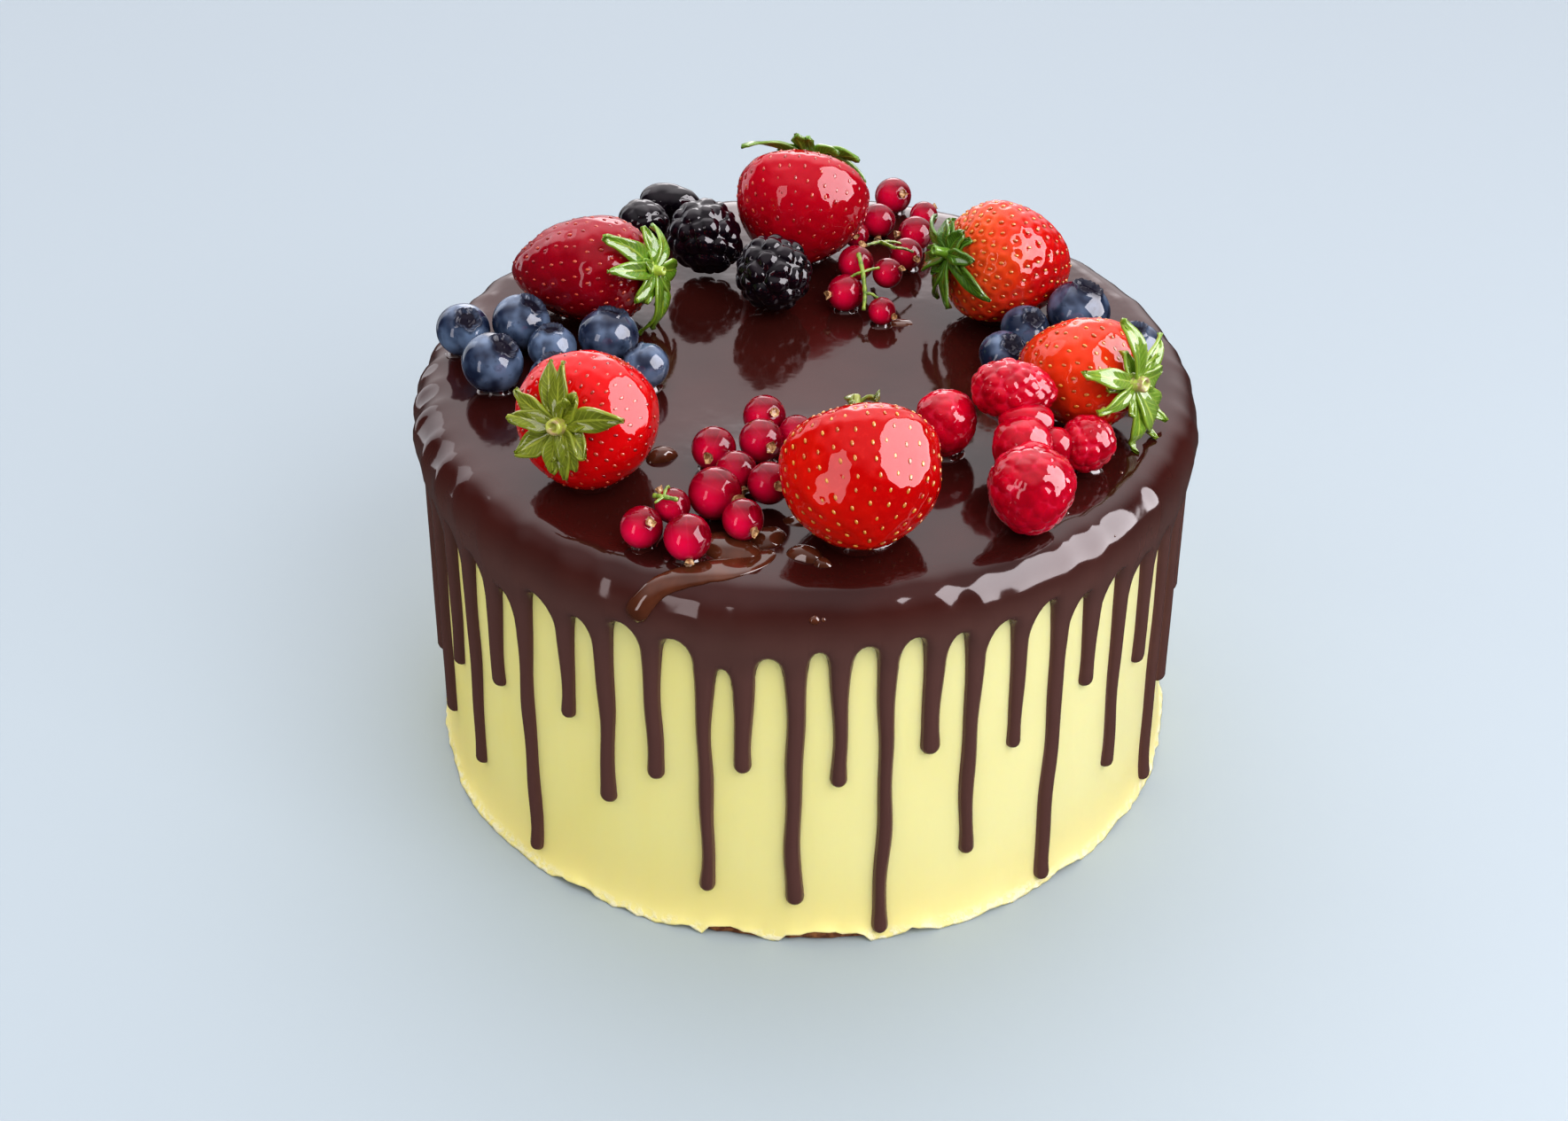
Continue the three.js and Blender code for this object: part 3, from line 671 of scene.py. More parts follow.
def keep_above(bm, floor):
    for vert in bm.verts:
        vert.co.z = max(vert.co.z, floor)


def rest_on_ganache(bm, place, kind):
    """Flattens what would sink into the ganache, and keeps the fruit's foot for the glaze."""
    keep_above(bm, FRUIT_FLOOR - FRUIT_SUNK)
    footings.append((BVHTree.FromBMesh(bm), place.translation.copy(), CREEP[kind]))


def press_flat(pieces, middle, window, depth, keep=0.3):
    """Fruit has flatter sides where it lay in its box; here they are the ones that mirror a window."""
    towards = ((CAMERA_PLACE - middle).normalized() + window.normalized()).normalized()
    start = max(vert.co.dot(towards) for vert in pieces[0].verts) - depth
    for bm in pieces:
        for vert in bm.verts:
            over = vert.co.dot(towards) - start
            if over > 0:
                soft = over - PRESSED_EDGE * (1 - exp(-over / PRESSED_EDGE))
                vert.co -= towards * (1 - keep) * soft


def ball(across, down, radius=1, uv=None):
    bm = bmesh.new()
    if uv:
        bm.loops.layers.uv.new(uv)
    bmesh.ops.create_uvsphere(bm, u_segments=across, v_segments=down, radius=radius, calc_uvs=bool(uv))
    return bm


def ball_angles(point):
    """The angle from +Z and the angle about Z of a point of the unit ball."""
    return acos(clamp(point.z, -1)), atan2(point.y, point.x)


def shoulder_height(share, length):
    return length * (0.5 - STRAWBERRY_SHOULDER * (1 - dome(share)))


def strawberry_point(polar, angle, length, radius, blunt):
    """A point of the skin: polar is 0 at the leaf end and pi at the tip."""
    if polar < pi / 2:
        share = sin(polar)
        z, out = shoulder_height(share, length) - 0.03 * length * (1 - share) ** 2, radius * share
    else:
        s = clamp(-cos(polar))
        z = length * (0.5 - STRAWBERRY_SHOULDER - (1 - STRAWBERRY_SHOULDER) * s)
        out = radius * (1 - s ** blunt) ** 0.74
    out *= 1 + 0.02 * sin(2 * angle + radius) + 0.012 * sin(3 * angle + length)
    return turned(out, angle, z)


def seed_places(shape, rng):
    """Seeds in crossing spirals, closer together near the leaves."""
    places, turn, polar = [], 0.0, 0.30
    while polar < pi - 0.12:
        ring = strawberry_point(polar, 0, *shape)
        more = (SEED_SPACING - SEED_SPACING_AT_LEAVES) * clamp((polar - 0.6) / 0.9)
        spacing = SEED_SPACING_AT_LEAVES + more
        count = max(int(2 * pi * ring.x / spacing), 3)
        for k in range(count):
            angle = 2 * pi * (k + turn) / count + rng.uniform(-0.05, 0.05)
            places.append((polar + rng.uniform(-0.025, 0.025), angle))
        turn += 0.5
        while (strawberry_point(polar, 0, *shape) - ring).length < spacing * 0.86 and polar < pi:
            polar += 0.01
    return places


def strawberry_skin(shape, places, depth):
    length, radius, _ = shape
    tree = tree_of([strawberry_point(*place, *shape) for place in places])
    bm = ball(*STRAWBERRY_FACETS)
    for vert in bm.verts:
        point = strawberry_point(*ball_angles(vert.co), *shape)
        away = tree.find(point)[2]
        dimple = -depth * bell(away, 0.6 + 0.8 * depth) + 0.06 * min(away / 2.4, 1)
        swell = 0.35 * noise(point * 0.16 + Vector((radius, length, 0)))
        out = dimple + swell + 0.12 * noise(point * 0.5)
        vert.co = point * (1 + out / max(point.length, radius * 0.6))
    return bm


def strawberry_finish(name, ripe, pale, side, middle):
    finish = Finish(
        "strawberry_" + name, Roughness=0.5, Coat_IOR=1.42, **GLAZED,
        Subsurface_Weight=0.15, Subsurface_Radius=(1.0, 0.10, 0.05), Subsurface_Scale=0.002,
    )
    where = finish.node("VectorMath", {0: finish.place(), 1: middle}, operation="SUBTRACT")
    tone = (finish.along(where, side) + (finish.grain(7, 2) - 0.5) * 22).between(-9, 15)
    flecks = finish.grain(1.3, 2).between(0.5, 0.75) * 0.15
    bright = [min(part * 1.25 + 0.02, 1) for part in pale]
    finish.set(Base_Color=finish.mix(flecks, finish.mix(tone, ripe, pale), bright))
    finish.bump(finish.grain(5.0, 1), 0.10)
    return finish


def add_copy(bm, mesh, place):
    """Adds a mesh to bm at a place."""
    copy = mesh.copy()
    copy.transform(place)
    bm.from_mesh(copy)
    bpy.data.meshes.remove(copy)


def strawberry_seeds(grain, shape, places, rng):
    bm = bmesh.new()
    for polar, angle in places:
        if polar < CAP_WITHOUT_SEEDS:
            continue
        seed = strawberry_point(polar, angle, *shape)
        tip = (strawberry_point(polar + 0.02, angle, *shape) - seed).normalized()
        side = Vector((0, 0, 1)).cross(seed).normalized()
        outwards = side.cross(tip)
        outwards *= copysign(1, outwards.dot(seed))
        turn = Matrix((side, tip, outwards)).transposed().to_4x4()
        size = rng.uniform(0.85, 1.1)
        form = Matrix.Diagonal((*(half * size for half in SEED_HALVES), 1))
        add_copy(bm, grain, Matrix.Translation(seed - outwards * SEED_SUNK) @ turn @ form)
    return bm


def seed_finish(tone, dark, bright):
    return patchy(
        "seed_" + tone, dark, bright, 2.2, 1, (0.35, 0.65), (0.4, 1, 0.05),
        Coat_Weight=1.0, Coat_Roughness=0.05, Roughness=0.4,
    )


seed_tones = {
    "gold": seed_finish("gold", (0.42, 0.10, 0.008), (0.66, 0.30, 0.035)),
    "red": seed_finish("red", (0.26, 0.004, 0.004), (0.55, 0.07, 0.02)),
}
grain = to_mesh("one_grain", ball(*SEED_FACETS))
for name, (spot, shape) in STRAWBERRIES.items():
    rng = random.Random(name)
    place = settled(*spot)
    middle, radius = place.translation, shape[1]
    ripe, pale, side, off, dimple, pressed, tone = STRAWBERRY_SKINS[name]
    side = Vector(side).normalized()
    places = seed_places(shape, rng)
    skin = strawberry_skin(shape, places, dimple)
    seeds = strawberry_seeds(grain, shape, places, rng)
    for bm in (skin, seeds):
        bmesh.ops.transform(bm, matrix=place, verts=bm.verts)
    if pressed:
        press_flat((skin, seeds), middle, WINDOW_RIGHT, pressed * radius)
    if name == "front":
        press_flat((skin, seeds), middle, WINDOW_FRONT, pressed * radius)
    rest_on_ganache(skin, place, "strawberry")
    keep_above(seeds, FRUIT_FLOOR - FRUIT_SUNK)
    red = strawberry_finish(name, ripe, pale, side, middle + off * side)
    new_piece(f"strawberry_{name}_flesh", skin, red, [f"strawberry_{name}"])
    new_piece(f"strawberry_{name}_seeds", seeds, seed_tones[tone])

# Each strawberry keeps its green calyx: a small hub with the cut stalk, and thin pointed leaves that
# have gone limp and shiny under the glaze. The front berry's leaves were pulled, leaving small stubs.
LEAF_GAP, LEAF_THICKNESS = 0.3, 0.65
LEAF_ACROSS, LEAF_ALONG = 6, 14
# leaves as (direction, reach) round the hub; curl at the shoulder, limpness; length and girth of the
# stalk; green of the leaf, its paler ribs and edges, the cut face of the stalk
CALYXES = {
    "left_back": (
        [(-175, 16), (-145, 15), (-95, 9), (-42, 15), (-20, 15), (5, 15), (43, 14), (96, 12), (140, 10)],
        2, 1.35, 3, 1.1, (0.11, 0.25, 0.010), (0.42, 0.58, 0.06), (0.336, 0.464, 0.048),
    ),
    "left_front": (
        [
            (-160, 11.5), (-117, 10), (-95, 11), (-70, 10), (-43, 8.5), (8, 14.5),
            (43, 8.5), (70, 13.5), (95, 13.5), (135, 13), (162, 11),
        ],
        3, 1.9, 4, 1.7, (0.14, 0.17, 0.008), (0.40, 0.44, 0.05), (0.36, 0.25, 0.11),
    ),
    "front": (
        [(-120, 5), (0, 4.5), (120, 5)],
        0, 1.35, 3, 1.1, (0.10, 0.13, 0.015), (0.30, 0.34, 0.05), (0.24, 0.272, 0.04),
    ),
    "back": (
        [(-146, 18), (-115, 10), (-53, 9), (-23, 13), (10, 15), (50, 12), (90, 12), (130, 12)],
        1, 1.35, 2, 1.1, (0.09, 0.20, 0.015), (0.28, 0.44, 0.06), (0.224, 0.352, 0.048),
    ),
    "right": (
        [(-167, 15), (-122, 12.5), (-46, 16), (-24, 16), (2, 17), (40, 9), (75, 12.5), (146, 15.5)],
        4, 1.35, 3, 1.7, (0.15, 0.27, 0.014), (0.46, 0.60, 0.08), (0.36, 0.25, 0.11),
    ),
    "right_back": (
        [(-164, 13), (-128, 12.5), (-78, 15), (-50, 11), (10, 7), (60, 9), (103, 15), (152, 12.5)],
        1, 1.35, 5, 1.1, (0.040, 0.11, 0.005), (0.15, 0.32, 0.018), (0.12, 0.256, 0.0144),
    ),
}


def leaf_finish(name, green, rib):
    finish = Finish(
        "leaf_" + name, Coat_Weight=1.0, Coat_Roughness=0.03, Roughness=0.5, Specular_IOR_Level=0.2,
        Subsurface_Weight=0.15, Subsurface_Radius=(0.5, 1.0, 0.2), Subsurface_Scale=0.001,
    )
    on_leaf = finish.node("UVMap", uv_map="leaf")
    across, along = finish.axis(on_leaf, "X"), finish.axis(on_leaf, "Y")
    off_middle = finish.math("ABSOLUTE", across - 0.5) * 2
    midrib = 1 - off_middle.between(0.04, 0.16)
    veins = finish.math("SINE", (along * 9 - off_middle * 2.2) * (2 * pi))
    veins = veins.between(0.55, 1.0) * (1 - off_middle.between(0.7, 1.0)) * 0.5
    edge = off_middle.between(0.82, 1.0) * 0.5
    blotches = finish.grain(2.4, 3).between(0.35, 0.75) * 0.55
    colour = finish.mix(blotches, green, [1.7 * part for part in green])
    lines = finish.math("MAXIMUM", finish.math("MAXIMUM", midrib, veins), edge)
    finish.set(Base_Color=finish.mix(lines * 0.75, colour, rib))
    finish.bump(midrib * 0.6 + veins * 0.5 + finish.grain(1.1, 2) * 0.7, 0.16)
    return finish


def leaf_blade(bm, place, shape, curl, outwards, direction, reach, width, lift, limp, rng):
    """One pointed leaf from the hub, over the berry's shoulder and down to the ganache if it gets there."""
    length, radius, _ = shape
    forward = turned(1, radians(direction))
    side = Vector((-forward.y, forward.x, 0))
    bend = rng.uniform(-1.3, 1.3) * limp
    twist = rng.uniform(-0.5, 0.5) * limp
    tip_curl = rng.uniform(-0.8, 2.4) * limp
    fold = rng.uniform(0.15, 0.6)
    arch = rng.uniform(0.2, 1.3)

    def where(i, j):
        u, t = 2 * i / LEAF_ACROSS - 1, j / LEAF_ALONG
        half = width * (0.42 + 0.9 * sin(pi * min(t ** 0.8, 1) * 0.62)) * (1 - t ** 2.6) ** 0.8
        half *= 1 + 0.12 * sin(9 * t + direction)
        distance = 0.9 + (reach - 0.9) * t
        flat = forward * distance + side * (u * half + bend * t * t)
        share = min(flat.length / (radius + 2), 0.97)
        rise = curl * (flat.length / radius) ** 2 + lift
        ripple = 0.30 * sin(8 * t + 3 * u + direction) * t + arch * sin(pi * t)
        z = shoulder_height(share, length) + LEAF_GAP + 0.75 + rise + ripple
        z += fold * half * abs(u) - fold * half * 0.5 + twist * u * half * t + tip_curl * t ** 3
        point = place @ Vector((flat.x, flat.y, z))
        sunk = max(FRUIT_FLOOR + 0.25 - point.z, 0)
        return point + Vector((0, 0, sunk)) + outwards * (0.6 * sunk)

    grid_piece(bm, LEAF_ACROSS, LEAF_ALONG, where)


def calyx_body(spot, shape, leaves, curl, limp, rng):
    bm = bmesh.new()
    bm.loops.layers.uv.new("leaf")
    whole = len(leaves) > 3
    widest = 2.5 if whole else 1.0
    blades = [
        (direction + rng.uniform(-7, 7), reach, rng.uniform(0.62, 1) * widest, 0.5 * (n % 2))
        for n, (direction, reach) in enumerate(leaves)
    ]
    for n in range(5 if whole else 0):
        blades.append((72 * n + rng.uniform(-20, 20), rng.uniform(6.0, 8.5), 1.4, -0.35))
    for blade in blades:
        leaf_blade(bm, settled(*spot), shape, curl, pointing(spot[3], 0), *blade, limp, rng)
    return bm


def paint_leaf_uv(bm):
    """Runs the map across and along every leaf, from the order in which its grid was made."""
    uv_layer = bm.loops.layers.uv["leaf"]
    bm.verts.index_update()
    across = LEAF_ACROSS + 1
    for loop in (loop for face in bm.faces for loop in face.loops):
        n = loop.vert.index % (across * (LEAF_ALONG + 1))
        loop[uv_layer].uv = (n % across / LEAF_ACROSS, n // across / LEAF_ALONG)


def hub_and_stalk(place, length, stalk, girth):
    """The hub's dome and the cut stalk with its hollow end."""
    top = length * 0.5 + 0.75
    end = top + stalk
    profile = [
        (0, top - 1.8), (2.9, top - 1.6), (3.2, top - 0.6), (2.6, top + 0.3), (girth * 1.2, top + 0.7),
        (girth * 1.05, top + stalk * 0.5), (girth, top + stalk * 0.9), (girth * 0.87, end),
        (girth * 0.55, end - 0.1), (girth * 0.4, end - 1.1), (0, end - 1.2),
    ]
    bm = turn_profile(profile, 20)
    for vert in bm.verts:
        vert.co.x += 0.14 * noise(vert.co * 0.9) + 0.09 * (vert.co.z - top)
        vert.co.y += 0.14 * noise(vert.co * 0.9 + Vector((4, 0, 0)))
    bmesh.ops.transform(bm, matrix=place, verts=bm.verts)
    return bm


for name, (leaves, curl, limp, stalk, girth, green, rib, cut) in CALYXES.items():
    spot, shape = STRAWBERRIES[name]
    bm = calyx_body(spot, shape, leaves, curl, limp, random.Random("calyx " + name))
    paint_leaf_uv(bm)
    bmesh.ops.recalc_face_normals(bm, faces=bm.faces)
    bmesh.ops.solidify(bm, geom=bm.faces[:], thickness=LEAF_THICKNESS)
    new_piece(f"calyx_{name}_leaves", bm, leaf_finish(name, green, rib), [f"calyx_{name}"])
    stem = patchy(
        "stalk_" + name, rib, cut, 1.2, 3, (0.4, 0.62), (0.5, 2, 0.12),
        Roughness=0.5, Coat_Weight=0.7, Coat_Roughness=0.1,
    )
    new_piece(f"calyx_{name}_stalk", hub_and_stalk(settled(*spot), shape[0], stalk, girth), stem)

# Blueberries keep their waxy bloom under the glaze, and the five-pointed crown of the flower at one end.
# They lie in two loose heaps, stuck to the ganache and to each other by the glaze.
BLUEBERRIES = [  # x, y, height, bearing and rise of the crown, radius
    (-78.5, 4.5, 5.8, -56, 55, 6.2), (-65.5, 7, 6.4, 0, 60, 6.8), (-70, -11, 6.6, -15, 58, 7),
    (-45, 0.5, 7, 60, 69, 6.9), (-57.5, -2.5, 5.6, 90, 85, 5.6), (-55.5, -16, 5.7, 90, 80, 6),
    (-36, -9.5, 5.2, 155, 48, 5.5), (62.5, 12.5, 7.8, 13, 72, 7.4), (50, 7.5, 5.8, -50, 62, 5.7),
    (44.5, -3.5, 5.4, -56, 60, 5.7), (74.5, -0.5, 5.8, -170, 80, 6.1),
]
BLUEBERRY_SQUASH, BLUEBERRY_FACETS = 0.93, (60, 44)


def blueberry_finish():
    finish = Finish("blueberry_skin", Roughness=0.6, Coat_IOR=1.5, **GLAZED)
    bloom = finish.grain(6.5, 2).between(0.36, 0.68)
    scuffs = finish.grain(1.5, 3).between(0.56, 0.70)
    colour = finish.mix(bloom, (0.013, 0.021, 0.050), (0.14, 0.20, 0.315))
    colour = finish.mix(scuffs * 0.35, colour, (0.012, 0.014, 0.034))
    crown = finish.node("Attribute", output="Fac", attribute_name="crown")
    finish.set(Base_Color=finish.mix(crown, colour, (0.014, 0.012, 0.022)), Coat_Weight=1 - 0.85 * crown)
    finish.bump(finish.grain(4.5, 1) + crown * finish.grain(0.5, 2), 0.04)
    return finish


def blueberry_body(radius, rng):
    bm = ball(*BLUEBERRY_FACETS)
    crown = bm.verts.layers.float.new("crown")
    start, uneven = rng.uniform(0, 6), Vector((rng.uniform(0, 50), 0, 0))
    for vert in bm.verts:
        polar, angle = ball_angles(vert.co)
        polar = pi * (polar / pi) ** 1.3
        rim = 0.40 + 0.09 * abs(cos(2.5 * angle + start)) ** 1.5
        ridge = 0.10 * bell(polar - rim, 0.055)
        inside = clamp((rim - polar) / 0.1)
        lump = 0.02 * noise(vert.co * 1.6 + uneven)
        out = 1 + ridge - 0.13 * inside + 0.05 * bell(polar, 0.05) + lump
        vert.co = turned(sin(polar), angle, cos(polar) * BLUEBERRY_SQUASH) * out * radius
        vert[crown] = max(inside, min(1, ridge * 9))
    return bm


def lay_berry(name, bm, spot, finish, kind, pressed=0):
    """Lays a small fruit at x, y, height, bearing and rise, and fixes it in the glaze."""
    place = settled(*spot)
    bmesh.ops.transform(bm, matrix=place, verts=bm.verts)
    if pressed:
        press_flat([bm], place.translation, WINDOW_RIGHT, pressed, 0.4)
    rest_on_ganache(bm, place, kind)
    new_piece(name + "_skin", bm, finish, [name])


def lay_berries(kind, rows, body, finish, pressed=0):
    for n, (x, y, height, bearing, rise, radius, *form) in enumerate(rows, 1):
        name = f"{kind}_{n:02d}"
        bm = body(radius, *form, random.Random(name))
        lay_berry(name, bm, (x, y, height, bearing, rise), finish, kind, pressed * radius)


lay_berries("blueberry", BLUEBERRIES, blueberry_body, blueberry_finish(), 0.05)

# Brambles and raspberries are clusters of round drupelets on a core. The glaze has filled the furrows
# between the drupelets, almost smooth on the raspberries and on the brambles at the far left.
BRAMBLES = [  # x, y, height, bearing and rise, radius, half length, drupelet size, furrow depth
    (-34.5, 68, 5.5, 175, 5, 5, 8, 3.6, 0.08), (-40.5, 57, 5.8, 170, 0, 5.8, 6.5, 3.8, 0.30),
    (-24.5, 41.5, 10.3, 150, 30, 8.7, 9.4, 4.5, 1.0), (-8, 25, 9.8, -85, 40, 8.8, 9.6, 4.5, 1.1),
]
RASPBERRIES = [
    (30, -34, 6.8, 80, 60, 6.7, 7.4, 3.0, 0.16), (44, -34.5, 15.6, 175, 2, 6.5, 9.2, 3.3, 0.55),
    (45.5, -46, 8.4, 90, 50, 6.5, 7, 3.0, 0.14), (46, -63, 9.6, 85, 55, 9, 9.2, 3.3, 0.32),
    (59.5, -41, 6.3, 60, 20, 6, 6.3, 3.0, 0.40),
]
GOLDEN_ANGLE, CLUSTER_FACETS = 2.39996, (100, 68)


def drupelet_cluster(radius, half, size, furrow, rng):
    """A berry whose skin bulges over every drupelet, and is nearly smooth where the glaze is thick."""
    area = 4 * pi * ((2 * (radius * half) ** 1.6 + radius ** 3.2) / 3) ** (1 / 1.6)
    count = int(area / (0.87 * size ** 2))
    middles = []
    for n in range(count):
        z = 1 - 2 * (n + 0.5) / count
        wander = Vector([rng.uniform(-0.24, 0.24) * size for _ in range(3)])
        middles.append(turned(sqrt(1 - z * z) * radius, n * GOLDEN_ANGLE, z * half) + wander)
    tree = tree_of(middles)
    bm = ball(*CLUSTER_FACETS)
    deep = bm.verts.layers.float.new("furrow")
    for vert in bm.verts:
        x, y, z = vert.co
        skin = Vector((x * radius, y * radius, z * half))
        (_, _, first), (_, _, second) = tree.find_n(skin, 2)
        seam = min((second - first) / (0.4 * size), 1)
        bulge = dome(first / (0.62 * size)) * (0.45 + 0.55 * seam)
        taper = 1 + 0.12 * z
        lump = 0.25 * noise(skin * 0.3 + Vector((radius, 0, half)))
        vert[deep] = 1 - bulge
        smooth_skin = Vector((skin.x * taper, skin.y * taper, skin.z))
        vert.co = smooth_skin + vert.co.normalized() * (furrow * (bulge - 0.75) + lump)
    return bm


def drupelet_finish(name, colour, bright, furrow_shade_and_sheen, glow):
    finish = Finish(
        name, Coat_IOR=1.5, Roughness=0.5, **GLAZED,
        Subsurface_Weight=glow, Subsurface_Radius=(1.0, 0.1, 0.12), Subsurface_Scale=0.003,
    )
    deep = finish.node("Attribute", output="Fac", attribute_name="furrow")
    patches = finish.grain(4, 2).between(0.3, 0.7)
    base = finish.mix(patches, colour, bright)
    # The furrows between the drupelets get a painted tone: painted shade on the brambles, a painted pale
    # sheen of glaze on the raspberries.
    finish.set(Base_Color=finish.mix(deep.between(0.55, 1.0) * patches, base, furrow_shade_and_sheen))
    finish.bump(finish.grain(3.0, 1), 0.03)
    return finish


# The third colour of each is painted: shade in the brambles' furrows, a pale glaze sheen in the raspberries'
# furrows.
bramble_black = drupelet_finish(
    "bramble_skin", (0.0035, 0.002, 0.005), (0.008, 0.003, 0.008), (0.0015, 0.001, 0.003), 0.0
)
raspberry_red = drupelet_finish(
    "raspberry_skin", (0.36, 0.0004, 0.014), (0.56, 0.0015, 0.026), (0.66, 0.022, 0.075), 0.3
)
lay_berries("bramble", BRAMBLES, drupelet_cluster, bramble_black)
lay_berries("raspberry", RASPBERRIES, drupelet_cluster, raspberry_red, 0.07)

# Clear glaze fills the gaps between the upper raspberries, so that they look like one mass. It is set
# firm, as red as the fruit behind it, and smooth.
BRIDGES = [  # middle as x, y, height above the ganache, then half sizes
    (47, -54, 9.4, (5.6, 4.6, 5.6)), (46.5, -40.5, 11.6, (5.8, 4.6, 4.4)),
    (52.6, -43.5, 7.0, (4.0, 3.4, 4.6)),
]
bridges = bmesh.new()
for n, (x, y, height, halves) in enumerate(BRIDGES):
    made = bmesh.ops.create_uvsphere(bridges, u_segments=48, v_segments=32, radius=1)["verts"]
    for vert in made:
        swell = 1 + 0.10 * noise(vert.co * 1.3 + Vector((0, 3 * n, 0)))
        vert.co = Matrix.Diagonal(halves) @ vert.co * swell
    bmesh.ops.translate(bridges, verts=made, vec=(x, y, GANACHE_TOP + height))
new_piece("glaze_between_raspberries", bridges, raspberry_red)

# Redcurrants lie in two loose strings. Each is a clear red ball with faint lines from end to end, and the
# dry brown rest of its flower at the tip.
REDCURRANTS = [  # x, y, height, bearing and rise of the dry tip, radius
    (21.5, 75.5, 4.4, -60, 30, 4.6), (17.5, 62.5, 4.2, -90, -40, 4.3), (26.5, 56, 4.2, -162, 6, 4.3),
    (11.5, 35, 7.3, 60, 45, 4.3), (19, 31.5, 6.7, -20, 30, 3.6), (9, 26, 4.3, -150, 10, 4.4),
    (17.5, 19.5, 3.2, -40, 0, 3.3), (12, 57, 3.2, -90, 20, 3.2), (29, 67, 3.4, 40, 20, 3.5),
    (24, 46, 3.9, -60, 10, 4), (-9, -28.5, 4.5, -59, 38, 4.7), (-9.5, -38.5, 4.8, -66, 16, 4.8),
    (-19.5, -41.5, 4.6, -100, 12, 4.8), (-14.5, -50, 4.5, -68, -20, 4.5), (-18.5, -59.5, 5.5, -40, 9, 5.6),
    (-33, -70.5, 4.6, -57, 43, 4.4), (-27, -64.5, 5.8, 140, 30, 3.7), (-23.5, -74, 4.7, -83, -36, 4.9),
    (-12.5, -68.5, 5.4, -60, 0, 4.3), (-7.5, -56, 5.8, -64, 26, 4.5), (-2, -34, 3.9, -60, 30, 3.9),
]
CURRANT_FACETS = (40, 26)
AWAY_FROM_WINDOW = Vector((-0.30, -0.86, 0.14)).normalized()


def currant_finish():
    finish = Finish(
        "redcurrant_skin", Coat_IOR=1.42, Roughness=0.4, **GLAZED,
        Subsurface_Weight=0.3, Subsurface_Radius=(1.0, 0.05, 0.07), Subsurface_Scale=0.004,
    )
    ends = finish.node("UVMap", uv_map="ends")
    around, along = finish.axis(ends, "X"), finish.axis(ends, "Y")
    lines = finish.math("ABSOLUTE", finish.math("SINE", around * (9 * pi))).between(0.0, 0.35)
    lines = (1 - lines) * along.between(0.05, 0.3) * (1 - along.between(0.75, 0.97))
    body = finish.mix(finish.grain(4, 1).between(0.3, 0.7), (0.13, 0.0003, 0.007), (0.24, 0.0006, 0.016))
    # Painted glow: light passing through the berry is painted into its colour, brightest on the side away
    # from the window.
    glow = finish.node("Attribute", output="Fac", attribute_name="glow")
    body = finish.mix(glow, body, (0.78, 0.006, 0.075))
    finish.set(Base_Color=finish.mix(lines * 0.12, body, (0.62, 0.04, 0.09)))
    return finish


def currant_ball(radius, spot):
    """A clear ball, with a glow painted on where the window's light would gather, on the side away from it.
    """
    bm = ball(*CURRANT_FACETS, radius, "ends")
    glow = bm.verts.layers.float.new("glow")
    gathered = settled(*spot).to_3x3().inverted() @ AWAY_FROM_WINDOW
    for vert in bm.verts:
        vert[glow] = 0.95 * max(vert.co.normalized().dot(gathered), 0) ** 3
        if vert.co.z > 0:
            vert.co.z -= 0.05 * radius * bell(vert.co.xy.length, 0.22 * radius)
    return bm


def dry_tip(radius, rng):
    """A withered flower end: a short ragged tube that splays into a few torn points."""
    height, foot = rng.uniform(0.20, 0.30) * radius, radius * 0.97
    bm = bmesh.new()
    made = bmesh.ops.create_cone(
        bm, segments=9, radius1=0.16 * radius, radius2=0.24 * radius, depth=height, cap_ends=True,
        matrix=Matrix.Translation((0, 0, foot + height / 2)),
    )["verts"]
    torn = [vert for vert in made if vert.co.z > foot + height * 0.5]
    for vert in torn:
        vert.co += Vector([rng.uniform(-0.07, 0.07) * radius for _ in range(3)])
    mouth = [face for face in bm.faces if all(vert in torn for vert in face.verts)]
    bmesh.ops.inset_region(bm, faces=mouth, thickness=0.06 * radius, depth=-0.12 * radius)
    return bm


red_skin = currant_finish()
tips = bmesh.new()
for n, (*spot, radius) in enumerate(REDCURRANTS, 1):
    name = f"redcurrant_{n:02d}"
    lay_berry(name, currant_ball(radius, spot), spot, red_skin, "currant")
    add_copy(tips, to_mesh("dry_tip", dry_tip(radius, random.Random(name))), settled(*spot))
keep_above(tips, FRUIT_FLOOR)
dry_brown = patchy(
    "currant_dry_tip", (0.30, 0.13, 0.045), (0.72, 0.50, 0.26), 0.8, 2, (0.35, 0.65), (0.4, 2, 0.2),
    Roughness=0.7, Coat_Weight=0.5, Coat_Roughness=0.1,
)
new_piece("redcurrant_dry_tips", tips, dry_brown, smooth=False)

# The currants hang on thin green stalks with a short side stalk to each berry. The stalks show in three
# places; the rest is hidden by the fruit.
STALKS = {  # the main stalk and then its side stalks, as points x, y, height above the ganache
    "currant_stalk_back": [
        [(12, 31.5, 11.8), (13, 27, 9.4), (13.5, 22, 6.4), (13.2, 18.5, 4)],
        [(13, 27, 9.4), (15, 28, 9.6), (17, 29.5, 9.2)],
        [(13.5, 22, 6.4), (15, 21.6, 6.6), (16.6, 20.6, 6)],
        [(13, 27, 9.4), (11.4, 27, 8.8), (10.2, 26.6, 8.2)],
    ],
    "currant_twig_back": [
        [(16, 47, 6.2), (17.5, 42.5, 9), (20.5, 38, 10)],
        [(17.5, 42.5, 9), (20.2, 43.6, 8.6), (22.6, 44.8, 7.4)],
        [(17.5, 42.5, 9), (15, 40, 9.8), (13, 37.4, 10.2)],
        [(20.5, 38, 10), (23, 39, 9.2), (25.4, 40.6, 7.4)],
    ],
    "currant_stalk_front": [
        [(-30.5, -66.5, 9.6), (-28.5, -68, 10.4), (-25.5, -69.5, 10.8)],
        [(-28.5, -68, 10.4), (-28, -66.2, 11.2), (-27.6, -65, 10.8)],
        [(-28.5, -68, 10.4), (-30.2, -69.6, 10)],
    ],
}
STALK_RADIUS = 0.6


